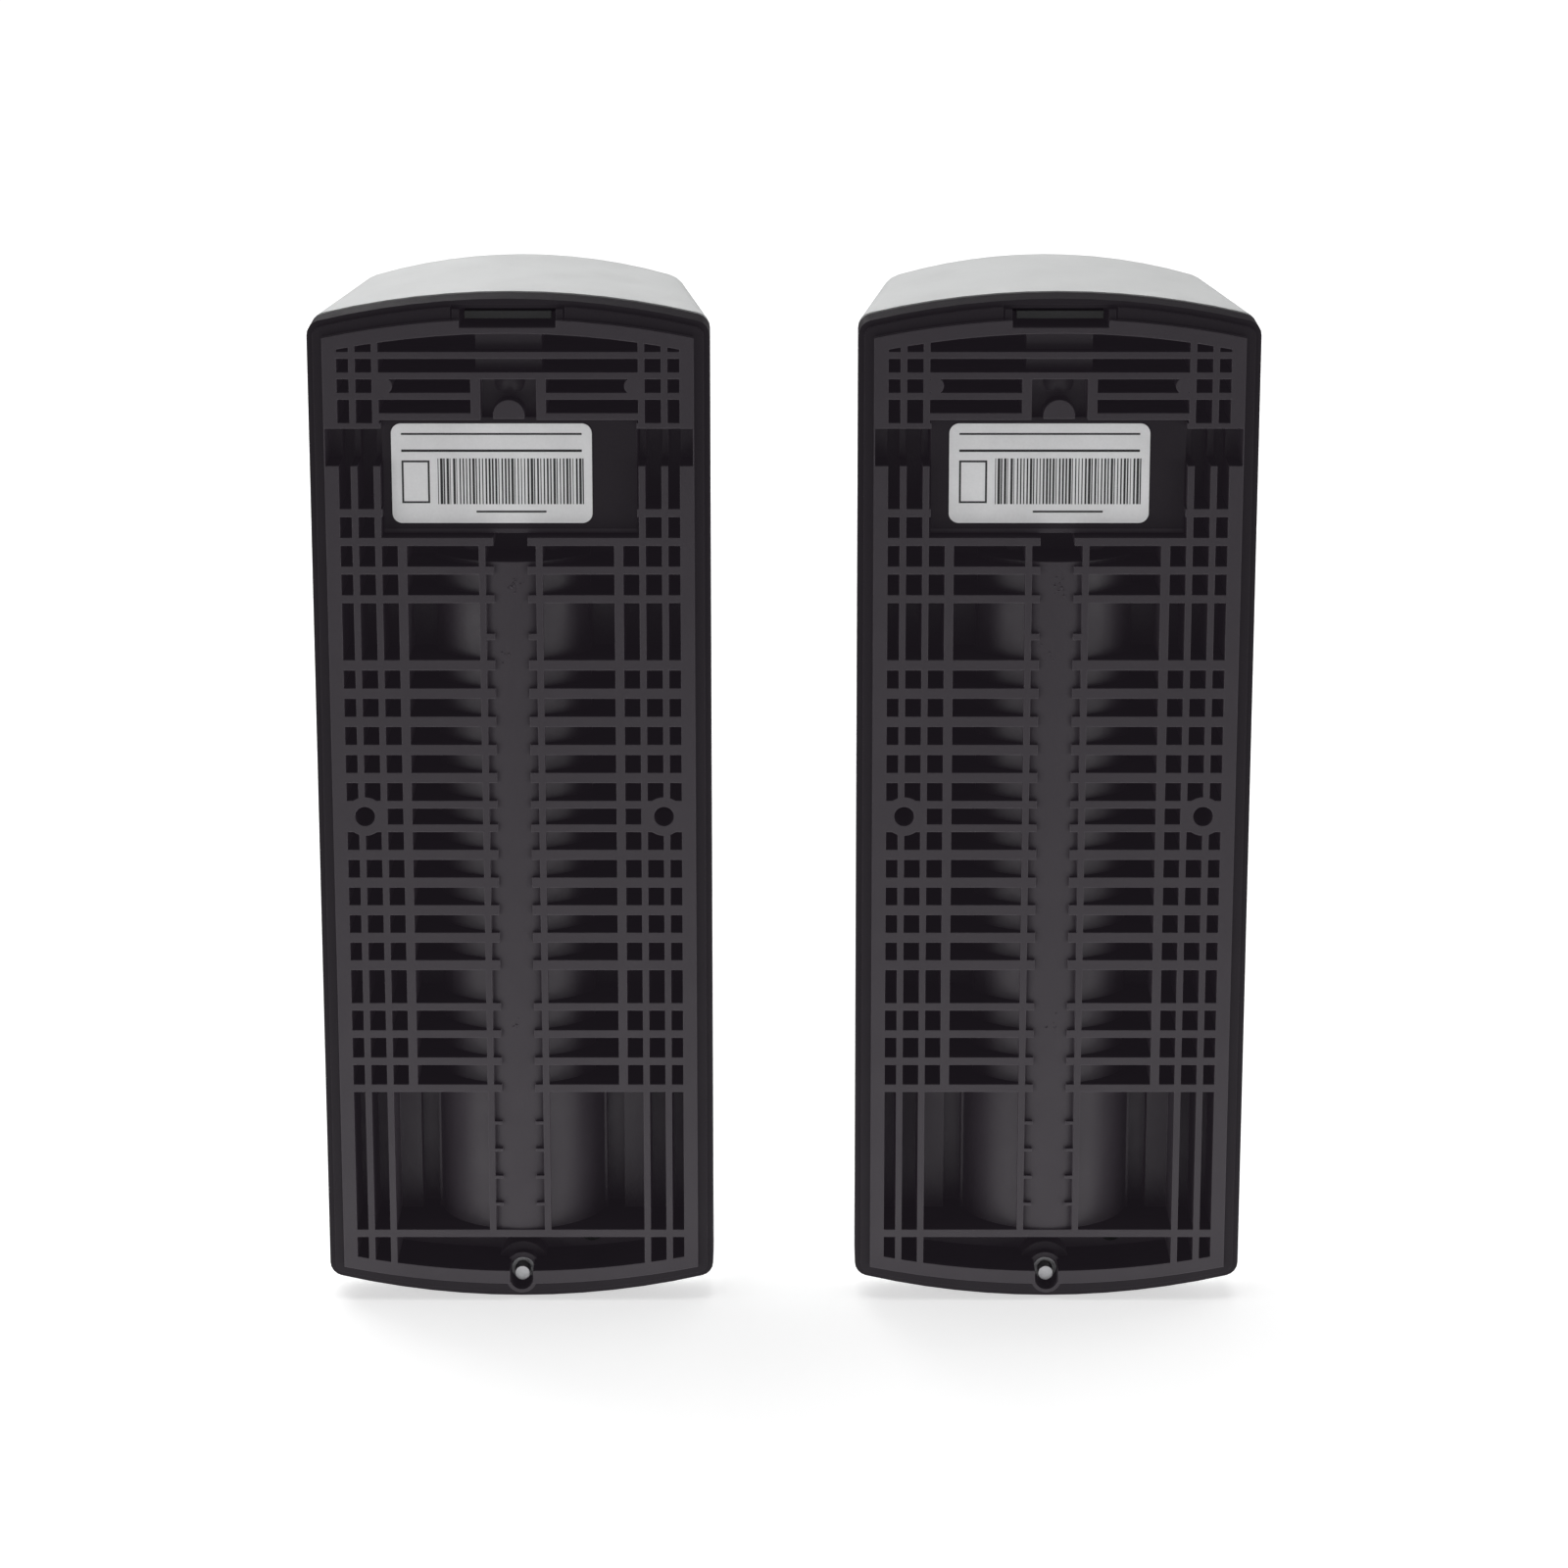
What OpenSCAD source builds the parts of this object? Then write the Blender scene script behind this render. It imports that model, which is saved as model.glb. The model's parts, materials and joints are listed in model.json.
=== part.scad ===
// Gate safety photocell: a receiver and a transmitter, each on its own post.
// The front of each unit faces -Y, and its ribbed back lies on the plane y = 0.
// The origin is midway between the receiver's two fixing holes, on that plane.
// Outlines are drawn as seen from the front: x to the right, z up.

/* [Pair] */
// Distance from the receiver's middle to the transmitter's
pair_pitch = 108.2; // [95:0.1:160]

/* [Rear housing] */
// Width across the rim
body_w = 79; // [76:0.5:84]
// Height over the top and bottom arcs
body_h = 207.6; // [200:0.2:240]
// Height of the middle of the housing above the fixing holes
body_rise = 0.6; // [0.2:0.1:1.2]
// Radius of the top and bottom arcs of the rim
rim_arc_r = 162; // [140:1:220]
// Radius of the rim's four corners
rim_corner_r = 3; // [2:0.1:4]
// Depth of the black skirt behind the cover
skirt_d = 8; // [7:0.1:9]
// How far the rim stands in front of the rib faces
rim_step = 2.2; // [1.6:0.1:3]
// How far the inner rim band stands in front of the rib faces
band_step = 1.1; // [0.6:0.1:1.5]
// Width of the rim's outer ring
rim_ring_w = 1.2; // [0.8:0.1:1.6]
// Width from the rim's edge to the raised block
block_inset = 3.1; // [2.6:0.1:3.4]
// Radius of the raised block's top and bottom arcs
block_arc_r = 180; // [150:1:240]
// Width of the border round the rib field
border_w = 2.8; // [2.2:0.1:3.2]
// Depth of the rib field
rib_d = 14; // [12:0.5:15]
// Thickness of the floor between the rib field and the inside
floor_t = 2; // [1.6:0.1:2.6]
// Height of the wall inside the cover
lip_h = 10; // [8:0.5:11]
// Distance from the rim's edge to that wall
lip_inset = 4.2; // [4:0.1:4.6]
// Thickness of that wall
lip_t = 1.8; // [1.4:0.1:2]

/* [Rib field] */
// Distance between rib rows
rib_pitch = 5.8; // [5.6:0.05:6]
// Width of the ribs in the middle rows
rib_w = 2.1; // [1.8:0.1:2.3]
// Width of the ribs in the upper and foot rows
thin_rib_w = 1.6; // [1.3:0.1:1.8]
// Width of the ribs at the very top
top_rib_w = 1.35; // [1.1:0.05:1.5]
// Distance between the ribs at the very top
top_rib_pitch = 4.05; // [3.9:0.05:4.1]
// Distance from the middle to the four upright ribs: nearest, wide, outer pair
upright_x1 = 5.65; // [5.3:0.05:6]
upright_x2 = 21.4; // [21:0.1:21.8]
upright_x3 = 26.1; // [25.9:0.1:26.3]
upright_x4 = 30.6; // [30.4:0.1:30.9]
// Width of the thin upright ribs
upright_w = 1.3; // [1.1:0.05:1.5]
// Width of the wide upright rib
wide_upright_w = 1.8; // [1.5:0.1:2]
// Length of the rib ends that stick into the middle strip
stub_w = 1.6; // [1.2:0.1:2]

/* [Trough] */
// Radius of the half-round trough behind the turret
trough_r = 17.3; // [17:0.1:17.5]
// Wall of the trough
trough_wall = 2.7; // [2.2:0.1:3]
// Depth of the trough's crest below the rib faces
trough_sink = 0.5; // [0.3:0.1:0.8]
// Half width of the trough between the ribs
trough_clip_x = 15.3; // [15:0.1:15.5]

/* [Fixings] */
// Distance between the two fixing holes
fixing_pitch = 60; // [58:0.5:61]
// Radius of a fixing hole
fixing_hole_r = 2; // [1.8:0.1:2.3]
// Radius of the pad round a fixing hole
fixing_pad_r = 4; // [3.8:0.1:4.2]
// Radius of the cover screw's ring boss
screw_boss_r = 3.1; // [3:0.1:3.4]
// Radius of the hole in the ring boss
screw_boss_hole_r = 2.4; // [2.2:0.1:2.5]
// Depth of the insert below the rib faces
insert_sink = 7.2; // [6.6:0.1:7.8]

/* [Label] */
// Width of the label
label_w = 39.6; // [36:0.1:42]
// Height of the label
label_h = 20; // [18:0.1:20.4]
// Thickness of the label
label_t = 0.2; // [0.15:0.05:0.3]
// Radius of the label's corners
label_corner_r = 2; // [1:0.1:3]
// Depth of the label recess
recess_d = 3; // [2.5:0.1:3.4]
// How far each label lies off the middle
receiver_label_x = 3.6; // [3:0.1:4]
transmitter_label_x = 1.7; // [1:0.1:2.5]

/* [Cover] */
// Full depth from the rib faces to the front of the cover
unit_d = 66; // [65:0.5:70]
// Wall of the cover
cover_wall = 2.2; // [2:0.1:2.4]
// Width of the cover near its front
cover_front_w = 68; // [67:0.5:70]
// Radius of the cover's top and bottom arcs near its front
cover_front_arc_r = 110; // [100:1:140]
// Depth of the rounding at the cover's front
cover_round = 6; // [5:0.5:7]
// How far that rounding draws the front in all round
cover_draw = 7; // [6:0.5:8]
// Radius of the cover's corners near its front
cover_corner_r = 5; // [4:0.5:6]
// Gap between the cover and the gasket
cover_gap = 0.2; // [0.1:0.05:0.3]
// Height of the dark window
window_h = 78; // [72:1:84]
// Distance from the rib faces to the window's rear edge
window_back = 30; // [28:0.5:32]
// Thickness of the window
window_t = 2.2; // [1.8:0.1:2.4]
// Width of the window's hidden flange
window_flange = 2.4; // [1.8:0.1:3]
// Thickness of the window's hidden flange
flange_t = 1.2; // [1:0.1:1.4]

/* [Turret] */
// Distance from the rib faces to the axis on which the turret pans
pan_depth = 30; // [29.5:0.1:30.5]
// Radius of the turret's two discs
disc_r = 13.5; // [12.5:0.1:14]
// Thickness of a disc
disc_t = 2.6; // [2.2:0.1:3]
// Clear height between the discs
disc_gap = 37; // [36:0.5:37.5]
// Radius of the turret's pins
pan_pin_r = 3; // [2.6:0.1:3.4]
// Radius of the pins on which the lens carrier tilts
tilt_pin_r = 2; // [1.6:0.1:2.4]
// Running clearance of a pin in its bore
pin_clear = 0.05; // [0.03:0.01:0.08]
// Radius of a lens
lens_r = 6; // [5.4:0.1:6.4]
// Distance from the front of the lens carrier to the window
lens_gap = 9.8; // [8:0.1:14]

/* [Electronics] */
// Thickness of the circuit boards
board_t = 1.6; // [1.2:0.2:1.6]
// Width of the main board
board_w = 60; // [58:0.5:61]
// Distance from the turret's shelf down to the main board
board_drop = 10; // [6:0.5:14]
// Distance from the wall inside the cover up to the main board
board_rise = 9; // [8:0.5:12]
// Distance from the rib faces to the back of the main board
board_back = 24; // [23:0.5:26]

/* [Hidden] */
receiver = 0;
transmitter = 1;
// Overrun of every cut past the face that it opens
cut = 0.5;
// Sides of a circle where it meets no pin or hole of another piece
$fn = 48;

// Housing
body_top = body_rise + body_h / 2;
body_bottom = body_rise - body_h / 2;
half_w = body_w / 2;
skirt_front = -(rim_step + skirt_d);
floor_back = -rib_d;
floor_front = -(rib_d + floor_t);
lip_front = skirt_front - lip_h;
block_x = half_w - block_inset;
field_x = block_x - border_w;
block_top_drop = 3.7;
block_top = body_top - block_top_drop;
block_low_drop = 3.3;
block_bottom = body_bottom + block_low_drop;
round_steps = 4;
arc_steps = 12;
fine_sides = 360;
trough_sides = 96;

// Rows of ribs, as heights above the fixing holes. One group hangs from the top of
// the housing, one stands on its bottom, and rows at the row pitch fill in between.
hole_rib_share = 0.422;
middle_row_share = 1.38;
top_row_share = 1.76;
side_row_drop = 42.3;
base_row_rise = 14.35;
tall_foot_h = 31.4;
foot_cells = 3;
upper_cells = 2;
upper_gap_share = 1.9;
lower_gap_share = 1.4;
stub_pitch_share = 1.01;
hole_rib_z = rib_pitch * hole_rib_share;
middle_row_z = rib_pitch * middle_row_share;
side_row_z = body_top - side_row_drop;
strip_top_z = side_row_z - rib_pitch;
upper_rows = [for (i = [0 : upper_cells]) strip_top_z - i * rib_pitch];
base_row_z = body_bottom + base_row_rise;
tall_foot_top = base_row_z + tall_foot_h;
foot_rows = [for (i = [0 : foot_cells]) tall_foot_top + i * rib_pitch];
middle_room = upper_rows[upper_cells] - middle_row_z - rib_pitch * upper_gap_share;
middle_rows = [for (i = [0 : floor(middle_room / rib_pitch)]) middle_row_z + i * rib_pitch];
lower_room = -middle_row_z - foot_rows[foot_cells] - rib_pitch * lower_gap_share;
lower_rows = [for (i = [0 : floor(lower_room / rib_pitch)]) -middle_row_z - i * rib_pitch];
top_row_z = block_top - top_rib_pitch * top_row_share;
top_rows = [for (i = [0 : 1]) top_row_z - i * top_rib_pitch];
broken_rows = [for (i = [2 : 3]) top_row_z - i * top_rib_pitch];
notch_rib_w = 1.1;
notch_gap = 2.4;
notch_top = broken_rows[1] - notch_gap;
notch_h = 7.5;
notch_edge = 0.2;
notch_x = block_x - notch_edge;
notch_d = 10;
stub_x = upright_x1 - upright_w / 2 - stub_w;
stub_pitch_z = rib_pitch * stub_pitch_share;
stubs = 4;

// Label recess
recess_edge = 0.3;
recess_gap = 0.4;
recess_x = upright_x3 - upright_w / 2 - recess_edge;
recess_top = broken_rows[1] - top_rib_w / 2;
recess_bottom = strip_top_z + thin_rib_w / 2 + recess_gap;
recess_floor_t = 2;
label_z = (recess_top + recess_bottom) / 2 + recess_gap;

// Shallow pocket and sight window above the label
pocket_x = 6.5;
pocket_d = 3.5;
sight_x = 5.5;
sight_d = 6;
sight_frame_w = 1.9;
sight_boss_r = 3.1;
sight_dome_r = 4;
sight_dome_h = 1.4;
pad_r = 1.6;

// Slot for the cover's hook, between two posts
slot_x = 9.45;
slot_post_w = 1.4;
slot_sink = 1.7;
slot_bottom = block_top - slot_sink;
slot_h = 3.4;
bay_x = 11.2;
bay_d = 3;
hook_side = 0.9;
hook_x = slot_x - hook_side;
hook_t = 1.1;
hook_back = 3.2;
hook_front = 20;
hook_clear = 0.5;
hook_lip = 0.5;

// Trough
trough_y = -(trough_sink + trough_r);
trough_in_r = trough_r - trough_wall;
trough_top_gap = 1.6;
trough_top = upper_rows[1] + trough_top_gap;
disc_room = 1.8;
optic_z = trough_top - trough_wall - disc_room - disc_t - disc_gap / 2;
trough_bottom = base_row_z;
channel_x = 19.2;
channel_w = 3.6;
channel_d = 5;

// Cover screw and its bosses
screw_rise = 1;
screw_z = body_bottom + screw_rise + screw_boss_r;
socket_r = 5.2;
socket_back = 1.2;
insert_boss_r = 3.5;
insert_lip = 0.2;
cover_boss_r = 3.6;
boss_clear = 0.4;
insert_bore_r = 1.55;
screw_r = 1.5;
screw_hole_r = 1.7;
screw_head_r = 2.8;
screw_head_h = 2.4;
screw_seat = 22;
screw_sink = 4.2;
pocket_r = 3.1;
pocket_wall = 1.1;

// Cover
gasket_t = 1.5;
gasket_inset = 0.5;
gasket_w = 1.6;
cover_back = skirt_front - gasket_t - cover_gap;
slice_t = 0.02;
window_clear = 0.1;
window_z = optic_z;
carrier_reach = unit_d - window_t - lens_gap - pan_depth;

// Cable entry
cable_x = -14;
cable_gap = 0.4;
cable_z = (base_row_z - thin_rib_w / 2 + body_bottom + lip_inset + lip_t) / 2 + cable_gap;
cable_hole_r = 2.6;
cable_bore_r = 2;
grommet_flange_r = 3.1;
grommet_flange_t = 1.2;

// Main board and its posts
board_front = board_back + board_t;
shelf_clear = 0.3;
shelf_t = 3;
disc_z = disc_gap / 2;
lower_disc_bottom = optic_z - disc_z - disc_t;
upper_disc_top = optic_z + disc_z + disc_t;
board_top = lower_disc_bottom - shelf_clear - shelf_t - board_drop;
board_bottom = body_bottom + lip_inset + lip_t + board_rise;
post_r = 2.6;
post_inset = 3.4;
board_screw_r = 1.2;
board_screw_head_r = 2.2;
board_screw_head_h = 1.6;
board_screw_l = 7;
board_hole_r = 1.35;
post_hole_l = 6;

// Turret
shelf_x = 10;
shelf_reach = 8;
shelf_disc_r = trough_in_r + trough_wall / 2;
foot_x = 12;
foot_t = 2.4;
foot_h = 11;
foot_top = upper_disc_top + foot_h;
bracket_screw_x = 8;
bracket_screw_drop = 3.5;
bracket_screw_z = foot_top - bracket_screw_drop;
bracket_boss_r = 2.4;
bracket_boss_d = 5;
cheek_in_x = 11;
cheek_t = 2;
cheek_w = 7;
tick_w = 0.5;
tick_d = 0.8;
tick_step = 15;
ticks = 6;
carrier_x = 10;
carrier_h = 29;
carrier_back = 10;
lens_pitch = 14;
lens_t = 2.5;
lens_ball_r = 9;
lens_seat = 3;
tube_r = 5.2;
optics_board_x = 9;
optics_board_h = 26;

// Screws
cross_l_share = 0.62;
cross_w_share = 0.14;
cross_d_share = 0.6;
bracket_screw_r = 1.1;
bracket_screw_l = 5.6;

// Parts on the main board, placed from its top edge or its bottom edge
terminals = 6;
terminal_pitch = 5;
terminal_h = 10;
terminal_rise = 8;
terminal_z = board_bottom + terminal_rise;
terminal_d = 6;
terminal_step = 3;
terminal_step_share = 0.55;
terminal_floor = 1;
terminal_screw_r = 1.8;
terminal_screw_h = 4;
wire_hole = 3;
wire_hole_d = 5;
relay_x = -28.5;
relay_rise = 7.5;
relay_z = board_bottom + relay_rise;
relay_w = 12;
relay_h = 16;
relay_d = 13;
coil_flange_r = 6;
coil_flange_t = 1.5;
coil_r = 4.6;
coil_l = 11;
capacitor_x = 5;
capacitor_rise = 20.5;
capacitor_z = board_bottom + capacitor_rise;
capacitor_r = 5;
capacitor_l = 14;
capacitor_gap = 12;
small_capacitor_r = 3.2;
small_capacitor_l = 9;
light_x = 6;
light_drop = 4;
light_z = board_top - light_drop;
light_r = 1.5;
light_l = 4.5;
light_flange_r = 1.9;
light_flange_t = 1;
tamper_x = 20;
tamper_drop = 15;
tamper_z = board_top - tamper_drop;
tamper_w = 8;
tamper_h = 6;
tamper_floor = 1;
plunger_r = 1.2;
plunger_clear = 0.1;
plunger_travel = 1.5;
plunger_proud = 6;
collar_r = 2.4;
collar_t = 0.8;
spring_out_r = 2.2;
spring_in_r = 1.6;
spring_l = 4;
spring_proud = 1.8;
knob_x = -20;
knob_drop = 15;
knob_z = board_top - knob_drop;
knob_r = 4;
knob_h = 5;
knob_foot = 1;
knob_stem_r = 1.5;
knob_slot_share = 0.5;
mode_drop = 14;
mode_z = board_top - mode_drop;
mode_w = 12;
mode_h = 8;
mode_d = 4;
mode_floor = 1;
mode_slot_x = 3;
slider_w = 2;
slider_h = 2;
slider_travel = 2;
slider_proud = 1.2;

// Small things in the turret and its bracket
rib_t = 1.6;
gusset = 6;
gusset_gap = 0.5;
gusset_x = bracket_screw_x - board_screw_head_r - gusset_gap;
lens_dome = 1.6;
diode_w = 6;
diode_t = 2;
emitter_r = 2.5;
emitter_l = 5;

function flip(points) = [for (i = [len(points) - 1 : -1 : 0]) [-points[i][0], points[i][1]]];

// Right half of a tall outline with arced ends, from its bottom to its top
function half_outline(half, top, bottom, arc_r, corner_r) =
    let (corner_x = half - corner_r,
         rise = sqrt(pow(arc_r - corner_r, 2) - corner_x * corner_x),
         bend = atan2(rise, corner_x))
    concat(
        [for (i = [1 : arc_steps / 2]) let (a = 90 + (bend - 90) * i / (arc_steps / 2))
            [arc_r * cos(a), bottom + arc_r - arc_r * sin(a)]],
        [for (i = [1 : round_steps]) let (a = bend * (1 - i / round_steps))
            [corner_x + corner_r * cos(a), bottom + arc_r - rise - corner_r * sin(a)]],
        [for (i = [0 : round_steps]) let (a = bend * i / round_steps)
            [corner_x + corner_r * cos(a), top - arc_r + rise + corner_r * sin(a)]],
        [for (i = [1 : arc_steps / 2 - 1]) let (a = bend + (90 - bend) * i / (arc_steps / 2))
            [arc_r * cos(a), top - arc_r + arc_r * sin(a)]]);

module tall_outline(half, top, bottom, arc_r, corner_r) {
    side = half_outline(half, top, bottom, arc_r, corner_r);
    polygon(concat([[0, bottom]], side, [[0, top]], flip(side)));
}

module rim_outline(inset) {
    tall_outline(half_w - inset, body_top - inset, body_bottom + inset,
        rim_arc_r - inset, max(rim_corner_r - inset, rim_ring_w / 2));
}

// Sharp-cornered outline between two arcs
module block_outline(half, top, bottom) {
    intersection() {
        translate([-half, bottom]) square([2 * half, top - bottom]);
        translate([0, top - block_arc_r]) circle(block_arc_r, $fn = fine_sides);
        translate([0, bottom + block_arc_r]) circle(block_arc_r, $fn = fine_sides);
    }
}

// A flat shape given depth between two planes, measured towards the front
module slab(front, back) {
    translate([0, back, 0]) rotate([90, 0, 0]) linear_extrude(back - front) children();
}

module box(x_low, x_high, front, back, z_low, z_high) {
    translate([x_low, front, z_low]) cube([x_high - x_low, back - front, z_high - z_low]);
}

// A round bar along the depth of the unit
module bar(x, z, r, front, back) {
    translate([x, back, z]) rotate([90, 0, 0]) cylinder(h = back - front, r = r);
}

module both_sides() {
    children();
    mirror([1, 0, 0]) children();
}

module at_unit(unit) {
    translate([unit == receiver ? 0 : -pair_pitch, 0, 0]) children();
}

module row(x_from, x_to, z, w) {
    translate([x_from, z - w / 2]) square([x_to - x_from, w]);
    translate([-x_to, z - w / 2]) square([x_to - x_from, w]);
}

module upright(x, w, z_low, z_high) {
    translate([x - w / 2, z_low]) square([w, z_high - z_low]);
    translate([-x - w / 2, z_low]) square([w, z_high - z_low]);
}

// Every rib face, as seen from behind
module rib_faces() {
    wide = field_x + border_w / 2;
    low = body_bottom;
    for (z = middle_rows) row(stub_x, wide, z, rib_w);
    for (z = lower_rows) row(stub_x, wide, z, rib_w);
    for (z = [hole_rib_z, -hole_rib_z]) row(stub_x, wide, z, thin_rib_w);
    for (z = foot_rows) row(stub_x, wide, z, thin_rib_w);
    for (z = upper_rows) row(stub_x, wide, z, thin_rib_w);
    row(recess_x, wide, side_row_z, thin_rib_w);
    row(0, wide, base_row_z, thin_rib_w);
    for (z = top_rows) row(0, wide, z, top_rib_w);
    row(0, wide, broken_rows[0], top_rib_w);
    row(0, recess_x + upright_w, broken_rows[1], top_rib_w);
    row(recess_x, wide, notch_top + notch_rib_w / 2, notch_rib_w);
    for (i = [1 : stubs])
        row(stub_x, upright_x1, tall_foot_top - i * stub_pitch_z - stub_w, upright_w / 2);
    row(stub_x, upright_x1, middle_rows[len(middle_rows) - 1] + rib_pitch, upright_w);
    upright(upright_x1, upright_w, base_row_z, strip_top_z);
    upright(upright_x2, wide_upright_w, tall_foot_top, strip_top_z);
    upright(upright_x3, upright_w, low, body_top);
    upright(upright_x4, upright_w, low, body_top);
    upright(sight_x + sight_frame_w / 2, sight_frame_w, recess_top, top_rows[1]);
    both_sides() {
        translate([fixing_pitch / 2, 0]) circle(fixing_pad_r);
        translate([recess_x - pad_r / 2, (top_rows[1] + broken_rows[0]) / 2]) circle(pad_r);
    }
}

module label_zone() {
    translate([-recess_x, recess_bottom]) square([2 * recess_x, recess_top - recess_bottom]);
}

module pocket_zone() {
    translate([-pocket_x, recess_top]) square([2 * pocket_x, body_top - recess_top]);
}

module rib_cells() {
    difference() {
        block_outline(field_x, block_top - border_w, block_bottom + border_w);
        rib_faces();
        label_zone();
        pocket_zone();
    }
}

module notches() {
    both_sides() translate([recess_x, notch_top - notch_h])
        square([notch_x - recess_x, notch_h]);
}

module pocket_cells() {
    intersection() {
        difference() {
            block_outline(field_x, block_top - border_w, block_bottom + border_w);
            rib_faces();
        }
        translate([-pocket_x, top_rows[1]]) square([2 * pocket_x, body_top - top_rows[1]]);
    }
}

module trough(r, half, z_low, z_high) {
    intersection() {
        translate([0, trough_y, z_low]) cylinder(h = z_high - z_low, r = r, $fn = trough_sides);
        box(-half, half, floor_front, 0, z_low, z_high);
    }
}

module housing_blank() {
    slab(skirt_front, -rim_step) rim_outline(0);
    slab(skirt_front, -band_step) rim_outline(rim_ring_w);
    slab(skirt_front, 0) block_outline(block_x, block_top, block_bottom);
    slab(floor_front, skirt_front) rim_outline(lip_inset);
    slab(lip_front, skirt_front) difference() {
        rim_outline(lip_inset);
        rim_outline(lip_inset + lip_t);
    }
}

module housing_bosses() {
    bar(0, screw_z, insert_boss_r, skirt_front, -insert_sink + insert_lip);
    intersection() {
        bar(0, screw_z, screw_boss_r, skirt_front, -band_step);
        box(-screw_boss_r, screw_boss_r, skirt_front, 0, body_bottom, screw_z);
    }
    box(-screw_boss_r, screw_boss_r, skirt_front, -band_step, screw_z, block_bottom + border_w);
    intersection() {
        bar(0, screw_z, socket_r, floor_front, skirt_front + socket_back);
        slab(floor_front, 0) rim_outline(lip_inset);
    }
    bar(0, broken_rows[1], sight_boss_r, -sight_d, -band_step);
    translate([0, -sight_d, (top_rows[1] + broken_rows[0]) / 2]) intersection() {
        translate([0, sight_dome_h - sight_dome_r, 0]) sphere(sight_dome_r);
        box(-sight_x, sight_x, -cut, sight_dome_h, -top_rib_pitch / 2, top_rib_pitch / 2);
    }
    both_sides() {
        bar(bracket_screw_x, bracket_screw_z, bracket_boss_r, floor_front,
            floor_back + bracket_boss_d);
        for (z = [board_top - post_inset, board_bottom + post_inset])
            bar(board_w / 2 - post_inset, z, post_r, -board_back, floor_front);
        box(channel_x - channel_w / 2 - floor_t, channel_x + channel_w / 2 + floor_t,
            floor_front - channel_d, floor_front, trough_bottom, tall_foot_top);
    }
    translate([0, trough_y, optic_z - disc_z - disc_t - shelf_clear - shelf_t])
        cylinder(h = shelf_t, r = shelf_disc_r);
    box(-shelf_x, shelf_x, -(pan_depth + shelf_reach), trough_y,
        lower_disc_bottom - shelf_clear - shelf_t, lower_disc_bottom - shelf_clear);
}

module housing_cuts() {
    slab(-recess_d, cut) label_zone();
    box(-recess_x + floor_t, recess_x - floor_t, floor_front - cut, -recess_d - recess_floor_t,
        recess_bottom + floor_t, recess_top - floor_t);
    slab(-notch_d, cut) notches();
    both_sides() {
        bar(fixing_pitch / 2, 0, fixing_hole_r, floor_front - cut, cut);
        bar(bracket_screw_x, bracket_screw_z, board_screw_r, floor_front - cut,
            floor_back + bracket_boss_d - floor_t);
        for (z = [board_top - post_inset, board_bottom + post_inset])
            bar(board_w / 2 - post_inset, z, board_hole_r, -board_back - cut,
                -board_back + post_hole_l);
        box(channel_x - channel_w / 2, channel_x + channel_w / 2, floor_front - channel_d + floor_t,
            floor_back + cut, trough_bottom + thin_rib_w / 2, tall_foot_top - thin_rib_w / 2);
    }
    bar(0, screw_z, screw_boss_hole_r, skirt_front - cut, cut);
    box(-screw_boss_hole_r, screw_boss_hole_r, -insert_sink + insert_lip, cut, screw_z,
        block_bottom + border_w + cut);
    bar(0, screw_z, cover_boss_r + boss_clear, lip_front - cut, skirt_front);
    box(-slot_x, slot_x, lip_front - cut, cut, slot_bottom, slot_bottom + slot_h);
    slab(-bay_d, cut) difference() {
        translate([-bay_x, slot_bottom]) square([2 * bay_x, body_top - rim_ring_w - slot_bottom]);
        both_sides() translate([slot_x, 0]) square([slot_post_w, slot_bottom + slot_h]);
        block_outline(block_x, block_top, block_bottom);
    }
    bar(cable_x, cable_z, cable_hole_r, floor_front - cut, floor_back + cut);
    translate([0, -pan_depth, lower_disc_bottom - shelf_clear - shelf_t - cut])
        cylinder(h = shelf_t + 2 * cut, r = pan_pin_r + pin_clear);
}

module ribbed_back() {
    difference() {
        housing_blank();
        slab(floor_back, cut) rib_cells();
        slab(-pocket_d, cut) pocket_cells();
        box(-sight_x, sight_x, -sight_d, cut, recess_top,
            broken_rows[0] + top_rib_pitch - top_rib_w / 2);
    }
}

module rear_housing() {
    color([0.18, 0.17, 0.19]) difference() {
        union() {
            difference() {
                union() {
                    ribbed_back();
                    trough(trough_r, trough_clip_x, trough_bottom, trough_top);
                    trough(trough_r, trough_r, trough_bottom, tall_foot_top);
                }
                translate([0, trough_y, trough_bottom + trough_wall])
                    cylinder(h = trough_top - trough_bottom - 2 * trough_wall, r = trough_in_r,
                        $fn = trough_sides);
            }
            housing_bosses();
        }
        housing_cuts();
    }
}

module rating_label(shift) {
    in_w = label_w / 2 - label_corner_r;
    in_h = label_h / 2 - label_corner_r;
    color("silver") slab(-recess_d, label_t - recess_d) translate([shift, label_z]) {
        square([2 * in_w, label_h], center = true);
        square([label_w, 2 * in_h], center = true);
        for (x = [-in_w, in_w], z = [-in_h, in_h]) translate([x, z]) circle(label_corner_r);
    }
}

module cover_gasket() {
    color([0.1, 0.1, 0.1]) slab(skirt_front - gasket_t, skirt_front) difference() {
        rim_outline(gasket_inset);
        rim_outline(gasket_inset + gasket_w);
    }
}

module cable_grommet() {
    color([0.1, 0.1, 0.1]) difference() {
        union() {
            bar(cable_x, cable_z, cable_hole_r, floor_front, floor_back);
            bar(cable_x, cable_z, grommet_flange_r, floor_front - grommet_flange_t, floor_front);
        }
        bar(cable_x, cable_z, cable_bore_r, floor_front - grommet_flange_t - cut, cut);
    }
}

module screw_insert() {
    color([0.25, 0.25, 0.26]) difference() {
        bar(0, screw_z, screw_boss_hole_r, skirt_front, -insert_sink);
        bar(0, screw_z, insert_bore_r, skirt_front - cut, cut);
    }
}

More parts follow.
